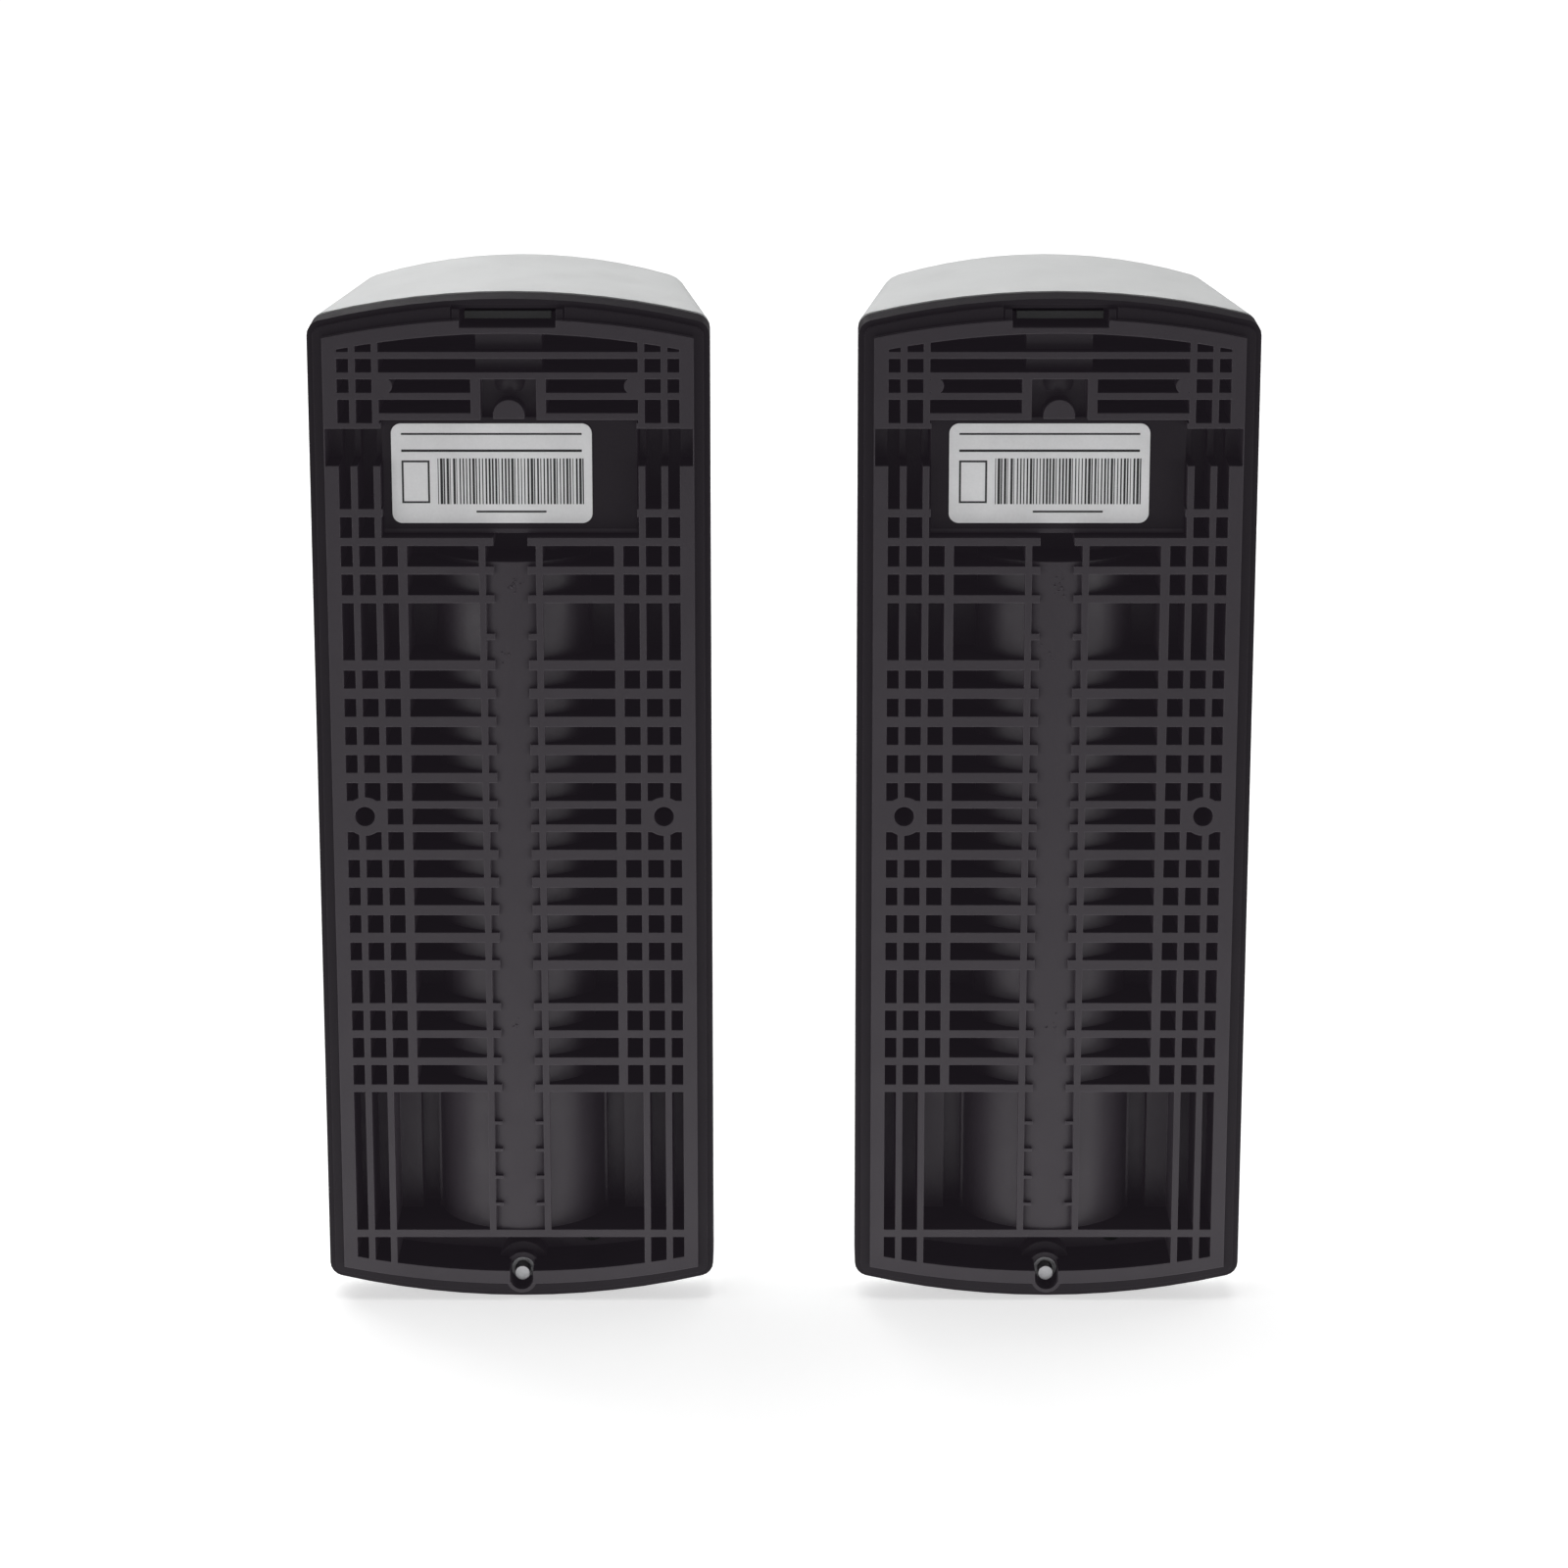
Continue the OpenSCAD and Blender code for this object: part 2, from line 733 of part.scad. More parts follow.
module board_corners() {
    for (x = [-1, 1], z = [board_top - post_inset, board_bottom + post_inset])
        translate([x * (board_w / 2 - post_inset), 0, z]) children();
}

module main_board() {
    color([0.1, 0.35, 0.2]) difference() {
        box(-board_w / 2, board_w / 2, -board_front, -board_back, board_bottom, board_top);
        board_corners() bar(0, 0, board_hole_r, -board_front - cut, -board_back + cut);
        bar(knob_x, knob_z, knob_stem_r + pin_clear, -board_front - cut, -board_back + cut);
    }
}

// Cross-head screw on an axis along the depth, its head towards the front
module screw(r, length, head_r, head_h, seat) {
    difference() {
        union() {
            bar(0, 0, r, -seat, -seat + length);
            bar(0, 0, head_r, -seat - head_h, -seat);
        }
        for (turn = [0, 90]) translate([0, -seat - head_h - cut, 0]) rotate([0, turn, 0])
            box(-head_r * cross_l_share, head_r * cross_l_share, 0, cut + head_h * cross_d_share,
                -head_r * cross_w_share, head_r * cross_w_share);
    }
}

module board_screws() {
    color("silver") board_corners()
        screw(board_screw_r, board_screw_l, board_screw_head_r, board_screw_head_h, board_front);
}

module bracket_screws() {
    color("silver") for (x = [-bracket_screw_x, bracket_screw_x])
        translate([x, 0, bracket_screw_z])
            screw(bracket_screw_r, bracket_screw_l, board_screw_head_r, board_screw_head_h,
                -floor_front + foot_t);
}

module terminal_places() {
    for (i = [0 : terminals - 1])
        translate([(i - (terminals - 1) / 2) * terminal_pitch, 0, 0]) children();
}

module terminal_block() {
    back = -board_front;
    color([0.2, 0.45, 0.25]) difference() {
        union() {
            box(-terminals * terminal_pitch / 2, terminals * terminal_pitch / 2,
                back - terminal_h, back, terminal_z, terminal_z + terminal_d);
            box(-terminals * terminal_pitch / 2, terminals * terminal_pitch / 2,
                back - terminal_h * terminal_step_share, back, terminal_z - terminal_step,
                terminal_z);
        }
        terminal_places() {
            bar(0, terminal_z + terminal_d / 2, terminal_screw_r + pin_clear,
                back - terminal_h - cut, back - terminal_h + terminal_screw_h);
            box(-wire_hole / 2, wire_hole / 2, back - wire_hole - terminal_floor,
                back - terminal_floor, terminal_z - terminal_step - cut,
                terminal_z - terminal_step + wire_hole_d);
        }
    }
}

module terminal_screws() {
    color("silver") terminal_places() difference() {
        bar(0, terminal_z + terminal_d / 2, terminal_screw_r, -board_front - terminal_h + tick_d,
            -board_front - terminal_h + terminal_screw_h);
        box(-terminal_screw_r - cut, terminal_screw_r + cut, -board_front - terminal_h,
            -board_front - terminal_h + 2 * tick_d, terminal_z + terminal_d / 2 - tick_w / 2,
            terminal_z + terminal_d / 2 + tick_w / 2);
    }
}

module relay() {
    color([0.15, 0.25, 0.55]) difference() {
        box(relay_x, relay_x + relay_w, -board_front - relay_d, -board_front, relay_z,
            relay_z + relay_h);
        bar(relay_x + relay_w - 2 * tick_d, relay_z + relay_h - 2 * tick_d, tick_d,
            -board_front - relay_d - cut, -board_front - relay_d + tick_w);
    }
}

module drive_coil() {
    color([0.55, 0.3, 0.15]) translate([relay_x + relay_w / 2, 0, relay_z + relay_h / 2]) {
        bar(0, 0, coil_flange_r, -board_front - coil_flange_t, -board_front);
        bar(0, 0, coil_r, -board_front - coil_l + coil_flange_t, -board_front - coil_flange_t);
        bar(0, 0, coil_flange_r, -board_front - coil_l, -board_front - coil_l + coil_flange_t);
    }
}

module capacitors() {
    color([0.15, 0.15, 0.2]) {
        bar(capacitor_x, capacitor_z, capacitor_r, -board_front - capacitor_l, -board_front);
        bar(capacitor_x + capacitor_gap, capacitor_z, small_capacitor_r,
            -board_front - small_capacitor_l, -board_front);
    }
}

module status_lights() {
    color([0.8, 0.2, 0.15]) for (x = [-light_x, light_x]) translate([x, 0, light_z]) {
        bar(0, 0, light_flange_r, -board_front - light_flange_t, -board_front);
        bar(0, 0, light_r, -board_front - light_l, -board_front - light_flange_t);
        translate([0, -board_front - light_l, 0]) intersection() {
            sphere(light_r);
            box(-light_r, light_r, -light_r, 0, -light_r, light_r);
        }
    }
}

module tamper_switch() {
    color([0.12, 0.12, 0.12]) difference() {
        box(tamper_x - tamper_w / 2, tamper_x + tamper_w / 2, -board_front - tamper_h,
            -board_front, tamper_z - tamper_w / 2, tamper_z + tamper_w / 2);
        bar(tamper_x, tamper_z, plunger_r + plunger_clear, -board_front - tamper_h - cut,
            -board_front - tamper_floor);
        bar(tamper_x, tamper_z, spring_out_r + plunger_clear, -board_front - tamper_h - cut,
            -board_front - tamper_h + spring_l + plunger_travel - spring_proud);
    }
}

module tamper_plunger() {
    color("white") {
        bar(tamper_x, tamper_z, plunger_r, -board_front - tamper_h - plunger_proud,
            -board_front - tamper_floor - plunger_travel - pin_clear);
        bar(tamper_x, tamper_z, collar_r, -board_front - tamper_h - spring_proud - collar_t,
            -board_front - tamper_h - spring_proud);
    }
}

module tamper_spring() {
    color("silver") difference() {
        bar(tamper_x, tamper_z, spring_out_r, -board_front - tamper_h - spring_proud,
            -board_front - tamper_h - spring_proud + spring_l);
        bar(tamper_x, tamper_z, spring_in_r, -board_front - tamper_h - spring_proud - cut,
            -board_front);
    }
}

module sensitivity_knob() {
    color([0.85, 0.6, 0.1]) difference() {
        union() {
            bar(knob_x, knob_z, knob_stem_r, -board_front - knob_foot, -board_back);
            bar(knob_x, knob_z, knob_r, -board_front - knob_foot - knob_h,
                -board_front - knob_foot);
        }
        box(knob_x - knob_r - cut, knob_x + knob_r * knob_slot_share,
            -board_front - knob_foot - knob_h - cut,
            -board_front - knob_foot - knob_h + 2 * tick_d, knob_z - tick_w, knob_z + tick_w);
    }
}

module mode_switch() {
    color([0.7, 0.15, 0.12]) difference() {
        box(-mode_w / 2, mode_w / 2, -board_front - mode_d, -board_front, mode_z - mode_h / 2,
            mode_z + mode_h / 2);
        for (x = [-mode_slot_x, mode_slot_x])
            box(x - slider_w / 2 - plunger_clear, x + slider_w / 2 + plunger_clear,
                -board_front - mode_d - cut, -board_front - mode_floor,
                mode_z - slider_travel - slider_h / 2 - plunger_clear,
                mode_z + slider_h / 2 + plunger_clear);
    }
}

module slider(x) {
    color("white") box(x - slider_w / 2, x + slider_w / 2, -board_front - mode_d - slider_proud,
        -board_front - mode_floor, mode_z - slider_h / 2, mode_z + slider_h / 2);
}

module turret_bracket() {
    arm_z = upper_disc_top + shelf_clear;
    color([0.25, 0.25, 0.27]) difference() {
        union() {
            box(-foot_x, foot_x, floor_front - foot_t, floor_front, arm_z, foot_top);
            box(-shelf_x, shelf_x, -pan_depth - shelf_reach, floor_front - foot_t, arm_z,
                arm_z + shelf_t);
            for (x = [-gusset_x, gusset_x - rib_t])
                translate([x, floor_front - foot_t, arm_z + shelf_t]) rotate([90, 0, 90])
                    linear_extrude(rib_t) polygon([[0, 0], [-gusset, 0], [0, gusset]]);
        }
        translate([0, -pan_depth, arm_z - cut])
            cylinder(h = shelf_t + 2 * cut, r = pan_pin_r + pin_clear);
        for (x = [-bracket_screw_x, bracket_screw_x])
            bar(x, bracket_screw_z, board_hole_r, floor_front - foot_t - cut, 0);
    }
}

// Outer or inner skin of the cover, drawn in from the outside by the inset
module cover_skin(inset, back) {
    hull() {
        slab(back - slice_t, back) rim_outline(inset);
        for (i = [0 : round_steps])
            let (a = 90 * i / round_steps,
                 drawn = inset + cover_draw * (1 - cos(a)),
                 front = -unit_d + inset + cover_round * (1 - sin(a)))
            slab(front, front + slice_t)
                tall_outline(cover_front_w / 2 - drawn, body_top - drawn, body_bottom + drawn,
                    cover_front_arc_r - drawn, cover_corner_r);
    }
}

module window_room(grow) {
    box(-half_w, half_w, -unit_d - cut, -window_back + grow, window_z - window_h / 2 - grow,
        window_z + window_h / 2 + grow);
}

module cover_shell() {
    color([0.85, 0.86, 0.86]) difference() {
        union() {
            difference() {
                cover_skin(0, cover_back);
                cover_skin(cover_wall, cover_back + cut);
                window_room(0);
            }
            bar(0, screw_z, cover_boss_r, -screw_seat, cover_back);
            intersection() {
                cover_skin(0, cover_back);
                bar(0, screw_z, pocket_r + pocket_wall, -unit_d, -screw_seat);
            }
            bar(tamper_x, tamper_z, post_r, -unit_d + cover_wall - cut,
                -board_front - tamper_h - plunger_proud - cover_gap);
        }
        bar(0, screw_z, screw_hole_r, -unit_d - cut, cut);
        bar(0, screw_z, pocket_r, -unit_d - cut, -screw_seat);
    }
}

module infrared_window() {
    flange_inset = cover_wall + window_clear;
    color([0.12, 0.05, 0.08]) difference() {
        union() {
            intersection() {
                cover_skin(0, cover_back);
                window_room(-window_clear);
            }
            intersection() {
                cover_skin(flange_inset, cover_back);
                window_room(window_flange);
            }
        }
        cover_skin(flange_inset + flange_t, cover_back + cut);
        intersection() {
            cover_skin(window_t, cover_back);
            window_room(-window_clear - window_flange);
        }
    }
}

module cover_hook() {
    top = slot_bottom + slot_h - hook_clear;
    color([0.08, 0.08, 0.09]) {
        box(-hook_x, hook_x, -hook_front, -hook_back - hook_lip, top - hook_t, top);
        box(-hook_x, hook_x, -hook_back - hook_lip, -hook_back, top - hook_t - hook_lip, top);
        intersection() {
            box(-hook_x, hook_x, -hook_front, cover_back, top, body_top);
            cover_skin(cover_wall + window_clear, cover_back);
        }
    }
}

module cover_screw() {
    color("silver") translate([0, 0, screw_z])
        screw(screw_r, screw_seat - screw_sink, screw_head_r, screw_head_h, screw_seat);
}

module turret_disc(z_low) {
    difference() {
        translate([0, 0, z_low]) cylinder(h = disc_t, r = disc_r);
        for (i = [-ticks : ticks]) rotate([0, 0, i * tick_step])
            box(-tick_w / 2, tick_w / 2, -disc_r - cut, -disc_r + tick_d, z_low - cut,
                z_low + disc_t + cut);
    }
}

module pan_yoke() {
    color([0.3, 0.3, 0.32]) translate([0, -pan_depth, optic_z]) difference() {
        union() {
            turret_disc(-disc_z - disc_t);
            turret_disc(disc_z);
            translate([0, 0, -disc_z - disc_t - shelf_clear - shelf_t])
                cylinder(h = shelf_t + shelf_clear, r = pan_pin_r);
            translate([0, 0, disc_z + disc_t])
                cylinder(h = shelf_t + shelf_clear, r = pan_pin_r);
            both_sides() box(cheek_in_x, cheek_in_x + cheek_t, -cheek_w / 2, cheek_w / 2,
                -disc_z, disc_z);
        }
        rotate([0, 90, 0]) cylinder(h = 2 * disc_r, r = tilt_pin_r + pin_clear, center = true);
    }
}

module lens_places() {
    for (z = [-lens_pitch / 2, lens_pitch / 2]) translate([0, 0, z]) children();
}

module lens_carrier() {
    color([0.14, 0.14, 0.15]) translate([0, -pan_depth, optic_z]) difference() {
        union() {
            box(-carrier_x, carrier_x, -carrier_reach, carrier_back, -carrier_h / 2,
                carrier_h / 2);
            rotate([0, 90, 0]) cylinder(h = 2 * (cheek_in_x + cheek_t), r = tilt_pin_r,
                center = true);
        }
        lens_places() {
            bar(0, 0, lens_r, -carrier_reach - cut, -carrier_reach + lens_seat + lens_t);
            bar(0, 0, tube_r, -carrier_reach, carrier_back + cut);
        }
    }
}

module lens(side) {
    color([0.75, 0.8, 0.85]) translate([0, -pan_depth, optic_z + side * lens_pitch / 2]) {
        bar(0, 0, lens_r - pin_clear, -carrier_reach + lens_seat, -carrier_reach + lens_seat + lens_t);
        intersection() {
            translate([0, -carrier_reach + lens_seat - lens_dome + lens_ball_r, 0])
                sphere(lens_ball_r);
            bar(0, 0, lens_r - pin_clear, -carrier_reach, -carrier_reach + lens_seat);
        }
    }
}

module optics_board() {
    color([0.1, 0.35, 0.2]) translate([0, -pan_depth, optic_z])
        box(-optics_board_x, optics_board_x, carrier_back, carrier_back + board_t,
            -optics_board_h / 2, optics_board_h / 2);
}

module photodiodes() {
    color([0.1, 0.08, 0.12]) translate([0, -pan_depth, optic_z]) lens_places()
        box(-diode_w / 2, diode_w / 2, carrier_back - diode_t, carrier_back, -diode_w / 2,
            diode_w / 2);
}

module emitters() {
    color([0.2, 0.2, 0.35]) translate([0, -pan_depth, optic_z]) lens_places() {
        bar(0, 0, emitter_r, carrier_back - emitter_l, carrier_back);
        translate([0, carrier_back - emitter_l, 0]) intersection() {
            sphere(emitter_r);
            box(-emitter_r, emitter_r, -emitter_r, 0, -emitter_r, emitter_r);
        }
    }
}

at_unit(receiver) rear_housing();  // receiver_rear_housing
at_unit(receiver) rating_label(receiver_label_x);  // receiver_rating_label
at_unit(receiver) cover_gasket();  // receiver_cover_gasket
at_unit(receiver) cable_grommet();  // receiver_cable_grommet
at_unit(receiver) screw_insert();  // receiver_screw_insert
at_unit(receiver) main_board();  // receiver_main_board
at_unit(receiver) board_screws();  // receiver_board_screws
at_unit(receiver) terminal_block();  // receiver_terminal_block
at_unit(receiver) terminal_screws();  // receiver_terminal_screws
at_unit(receiver) relay();  // receiver_relay
at_unit(receiver) capacitors();  // receiver_capacitors
at_unit(receiver) status_lights();  // receiver_status_lights
at_unit(receiver) tamper_switch();  // receiver_tamper_switch
at_unit(receiver) tamper_plunger();  // receiver_tamper_plunger
at_unit(receiver) tamper_spring();  // receiver_tamper_spring
at_unit(receiver) sensitivity_knob();  // receiver_sensitivity_knob
at_unit(receiver) mode_switch();  // receiver_mode_switch
at_unit(receiver) slider(-mode_slot_x);  // receiver_mode_slider
at_unit(receiver) turret_bracket();  // receiver_turret_bracket
at_unit(receiver) bracket_screws();  // receiver_bracket_screws
at_unit(receiver) cover_shell();  // receiver_cover_shell
at_unit(receiver) infrared_window();  // receiver_infrared_window
at_unit(receiver) cover_hook();  // receiver_cover_hook
at_unit(receiver) cover_screw();  // receiver_cover_screw
at_unit(receiver) pan_yoke();  // receiver_pan_yoke
at_unit(receiver) lens_carrier();  // receiver_lens_carrier
at_unit(receiver) lens(1);  // receiver_upper_lens
at_unit(receiver) lens(-1);  // receiver_lower_lens
at_unit(receiver) optics_board();  // receiver_optics_board
at_unit(receiver) photodiodes();  // receiver_photodiodes
at_unit(transmitter) rear_housing();  // transmitter_rear_housing
at_unit(transmitter) rating_label(transmitter_label_x);  // transmitter_rating_label
at_unit(transmitter) cover_gasket();  // transmitter_cover_gasket
at_unit(transmitter) cable_grommet();  // transmitter_cable_grommet
at_unit(transmitter) screw_insert();  // transmitter_screw_insert
at_unit(transmitter) main_board();  // transmitter_main_board
at_unit(transmitter) board_screws();  // transmitter_board_screws
at_unit(transmitter) terminal_block();  // transmitter_terminal_block
at_unit(transmitter) terminal_screws();  // transmitter_terminal_screws
at_unit(transmitter) drive_coil();  // transmitter_drive_coil
at_unit(transmitter) capacitors();  // transmitter_capacitors
at_unit(transmitter) status_lights();  // transmitter_status_lights
at_unit(transmitter) tamper_switch();  // transmitter_tamper_switch
at_unit(transmitter) tamper_plunger();  // transmitter_tamper_plunger
at_unit(transmitter) tamper_spring();  // transmitter_tamper_spring
at_unit(transmitter) slider(mode_slot_x);  // transmitter_range_slider
at_unit(transmitter) mode_switch();  // transmitter_mode_switch
at_unit(transmitter) slider(-mode_slot_x);  // transmitter_mode_slider
at_unit(transmitter) turret_bracket();  // transmitter_turret_bracket
at_unit(transmitter) bracket_screws();  // transmitter_bracket_screws
at_unit(transmitter) cover_shell();  // transmitter_cover_shell
at_unit(transmitter) infrared_window();  // transmitter_infrared_window
at_unit(transmitter) cover_hook();  // transmitter_cover_hook
at_unit(transmitter) cover_screw();  // transmitter_cover_screw
at_unit(transmitter) pan_yoke();  // transmitter_pan_yoke
at_unit(transmitter) lens_carrier();  // transmitter_lens_carrier
at_unit(transmitter) lens(1);  // transmitter_upper_lens
at_unit(transmitter) lens(-1);  // transmitter_lower_lens
at_unit(transmitter) optics_board();  // transmitter_optics_board
at_unit(transmitter) emitters();  // transmitter_emitters
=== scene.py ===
"""Looks of the gate safety photocell pair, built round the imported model.

Lengths are in metres. Both units face -Y, and the camera sees their ribbed backs.
"""
import json
import math
import random

import bmesh
import bpy
from mathutils import Euler, Matrix, Vector


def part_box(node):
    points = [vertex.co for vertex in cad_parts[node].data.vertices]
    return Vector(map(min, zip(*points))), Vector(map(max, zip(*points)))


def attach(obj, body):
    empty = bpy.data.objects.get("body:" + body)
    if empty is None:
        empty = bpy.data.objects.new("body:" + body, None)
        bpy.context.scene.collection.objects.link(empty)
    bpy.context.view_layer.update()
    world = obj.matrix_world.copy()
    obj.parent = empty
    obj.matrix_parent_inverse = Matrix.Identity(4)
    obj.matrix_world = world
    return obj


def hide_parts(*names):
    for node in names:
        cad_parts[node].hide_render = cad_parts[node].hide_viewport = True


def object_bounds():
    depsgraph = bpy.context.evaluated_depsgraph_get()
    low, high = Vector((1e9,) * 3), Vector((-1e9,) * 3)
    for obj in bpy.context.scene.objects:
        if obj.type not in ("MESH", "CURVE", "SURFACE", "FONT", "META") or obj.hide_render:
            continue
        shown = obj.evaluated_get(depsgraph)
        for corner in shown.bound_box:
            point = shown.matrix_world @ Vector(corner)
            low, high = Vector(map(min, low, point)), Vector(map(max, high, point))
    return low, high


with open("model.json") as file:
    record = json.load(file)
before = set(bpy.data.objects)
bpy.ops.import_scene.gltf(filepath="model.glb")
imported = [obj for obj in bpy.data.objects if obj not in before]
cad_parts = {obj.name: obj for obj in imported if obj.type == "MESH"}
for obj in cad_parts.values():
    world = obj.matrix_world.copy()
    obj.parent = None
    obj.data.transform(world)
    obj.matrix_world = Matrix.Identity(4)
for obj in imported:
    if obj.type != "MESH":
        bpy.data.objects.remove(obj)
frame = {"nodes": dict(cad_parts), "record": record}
CAD_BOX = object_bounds()

MM = 0.001
UNITS = {"receiver": 0.0, "transmitter": -108.2 * MM}
PAIR_X = UNITS["transmitter"] / 2

# Camera, fitted to the photograph: an elevation of 15 degrees above the middle of the pair
CAMERA_DISTANCE = 958.3 * MM
CAMERA_ELEVATION = math.radians(15)
CAMERA_HEIGHT = 6.75 * MM
CAMERA_LENS = 109.81
SENSOR = 36.0

# The floor: its gap under the part and its half width, then rows of two distances with the value at
# each. The lift is what the camera sees, the glow is what lights the part, less of it in front.
FLOOR_GAP = 0.4 * MM
FLOOR_HALF = 6.0
FLOOR_LIFT = (0.25, 1.1, 0.56, 0.95)
FLOOR_GLOW = (0.1, 0.38, 1.3, 0.1)
FRONT_GLOW = (-0.04, 0.02, 0.15, 1.0)

# The room's level, and each light with its place from the pair's middle, its target's height, its
# size and its power
ROOM_LEVEL = 0.15
LIGHTS = (
    ("top", (0.05, -0.1, 1.0), 0, (1.0, 0.8), 5.4),
    ("camera_side", (-0.5, 0.33, -0.04), -0.06, (0.25, 0.12), 0.58),
    ("camera_side", (0.5, 0.33, -0.04), -0.06, (0.25, 0.12), 0.58),
    ("front_key", (0.6, -1.0, 0.9), 0, (0.9, 0.7), 6),
    ("front_fill", (-0.9, -0.7, 0.4), 0, (0.8, 0.8), 2),
)

# Places in the units that the small pieces follow, in millimetres: each chip with its width, height
# and legs a side, and each gate mark with its number of chips
PIN_PITCH = 2.54
LEG_PITCH = 1.27
CHIPS = ((-9, -44, 4.0, 10.2, 8), (13, -41, 4.0, 5.2, 4))
PASSIVES = ((-19, -36), (-19, -39), (-19, -42), (-15.6, -52), (-12.4, -52), (-9.2, -52), (1, -36),
            (4, -36), (7, -36), (20, -37), (20, -40), (20, -43), (14, -52), (17, -52), (-3, -31),
            (3, -31), (-24, -50), (-24, -53), (24, -50), (24, -56))
CRYSTAL = (3, -46)
VARISTOR = (22.5, -77)
HEADER = (-22, -58)
TROUGH_CREST = -0.5
GATE_MARKS = ((-0.6, 47.5, 16), (-0.2, -44.0, 5), (1.6, 33.0, 4))

# Turned forms on the board, from pairs of radius and height in millimetres
CRYSTAL_CAN = ((2.3, 0), (2.3, 0.5), (1.9, 0.6), (1.9, 3.2), (1.6, 3.5))
VARISTOR_LEAD = ((0.9, 0), (0.5, 0.7), (0.35, 1.0), (0.35, 2.4))

# Edges under this angle are shaded smoothly
SMOOTH_ANGLE = math.radians(28)

# The housing's raised block and label recess, which mark where painted shade darkens it and its
# sheen drops
BLOCK_X = 36.4 * MM
BLOCK_ARC_R = 180 * MM
BLOCK_TOP = 100.75 * MM
BLOCK_BOTTOM = -99.95 * MM
UNIT_REACH = 45 * MM
RECESS_X = 25.2 * MM
RECESS_ROOM = 1.2 * MM
RIB_FACE = -1 * MM
BOSS_Y = -1.1 * MM
BOSS_R = 3.15 * MM
SCREW_Z = -99.1 * MM
SOCKET_R = 5.25 * MM
SOCKET_Y = -7.5 * MM

# How much painted shade darkens those zones and the upward-facing walls, the sheen of the rest and
# the faint painted glow that raises its black, then the painted highlights on edges: how far the
# rounded normal leans there, as cosines, and how much lighter they are
RIM_DARK = 0.62
WALL_DARK = 0.75
HOUSING_SHEEN = 0.3
BLACK_LIFT_GLOW = (0.0085, 0.0068, 0.009)
HIGHLIGHT_LEAN = (0.995, 0.86)
HIGHLIGHT_GAIN = 2.4
HIGHLIGHT_LIFT = 0.01

# The label's film and its print: areas as the left, right, low and high share of the label
FILM_METAL = 0.25
BARS = 62.0
BAR_SHARES = (0.2, 0.85)
BAR_AREA = (0.23, 0.96, 0.19, 0.65)
RULES = ((0.05, 0.95, 0.715, 0.74), (0.05, 0.95, 0.885, 0.905), (0.42, 0.77, 0.105, 0.125))
FRAME_OUT = (0.05, 0.19, 0.2, 0.63)
FRAME_IN = (0.06, 0.18, 0.22, 0.61)

# The drive coil's wire and the plunger's spring, whose closed ends take a share of its turns
COIL_WIRE = 0.35 * MM
SPRING_TURNS = 6
SPRING_STEPS = 16
SPRING_CLOSED = 0.12
SPRING_R = 1.9 * MM
WIRE_R = 0.22 * MM

random.seed(5)


# ---- Node helpers

def start(name, colour, rough, **sockets):
    """A new material with its shader and the place on the object."""
    mat = bpy.data.materials.new(name)
    mat.use_nodes = True
    shader = mat.node_tree.nodes["Principled BSDF"]
    shader.inputs["Base Color"].default_value = (*colour, 1)
    shader.inputs["Roughness"].default_value = rough
    for key, value in sockets.items():
        shader.inputs[key.replace("_", " ")].default_value = value
    where = mat.node_tree.nodes.new("ShaderNodeTexCoord").outputs["Object"]
    return mat, shader, where


def put(mat, socket, value):
    """Sets a socket, or links it where the value is another socket."""
    if isinstance(value, bpy.types.NodeSocket):
        mat.node_tree.links.new(value, socket)
    else:
        socket.default_value = value


def add(mat, kind, settings=None, **inputs):
    """A node with its settings and inputs, and its first output."""
    node = mat.node_tree.nodes.new(kind)
    for key, value in (settings or {}).items():
        setattr(node, key, value)
    for key, value in inputs.items():
        put(mat, node.inputs[key.replace("_", " ")], value)
    return node.outputs[0]


def sums(mat, operation, *values, clamp=False):
    """One step of arithmetic on numbers or sockets."""
    node = mat.node_tree.nodes.new("ShaderNodeMath")
    node.operation = operation
    node.use_clamp = clamp
    for socket, value in zip(node.inputs, values):
        put(mat, socket, value)
    return node.outputs[0]


def noise(mat, where, size, detail=3.0, rough=0.55):
    """Soft noise whose patches are about the size."""
    return add(mat, "ShaderNodeTexNoise", Vector=where, Scale=1 / size, Detail=detail,
               Roughness=rough)


def span(mat, value, low, high, to_low=0.0, to_high=1.0):
    """The value carried from one range to another, and held at its ends."""
    return add(mat, "ShaderNodeMapRange", Value=value, From_Min=low, From_Max=high, To_Min=to_low,
               To_Max=to_high)


def mix(mat, share, first, second, blend="MIX"):
    """Two colours mixed by a share."""
    node = mat.node_tree.nodes.new("ShaderNodeMix")
    node.data_type = "RGBA"
    node.blend_type = blend
    put(mat, node.inputs["Factor"], share)
    for socket, value in ((node.inputs[6], first), (node.inputs[7], second)):
        put(mat, socket, value if isinstance(value, bpy.types.NodeSocket) else (*value, 1))
    return node.outputs[2]


def rounded(mat, radius):
    """A normal that rounds every edge by the radius."""
    return add(mat, "ShaderNodeBevel", {"samples": 6}, Radius=radius)


def bump(mat, shader, height, distance, strength=1.0, normal=None):
    """Fine relief on the shader, over the normal where one is given."""
    inputs = {"Strength": strength, "Distance": distance, "Height": height}
    if normal is not None:
        inputs["Normal"] = normal
    out = add(mat, "ShaderNodeBump", **inputs)
    mat.node_tree.links.new(out, shader.inputs["Normal"])


def axes(mat, where):
    """The three parts of a place or a direction."""
    node = mat.node_tree.nodes.new("ShaderNodeSeparateXYZ")
    mat.node_tree.links.new(where, node.inputs[0])
    return node.outputs


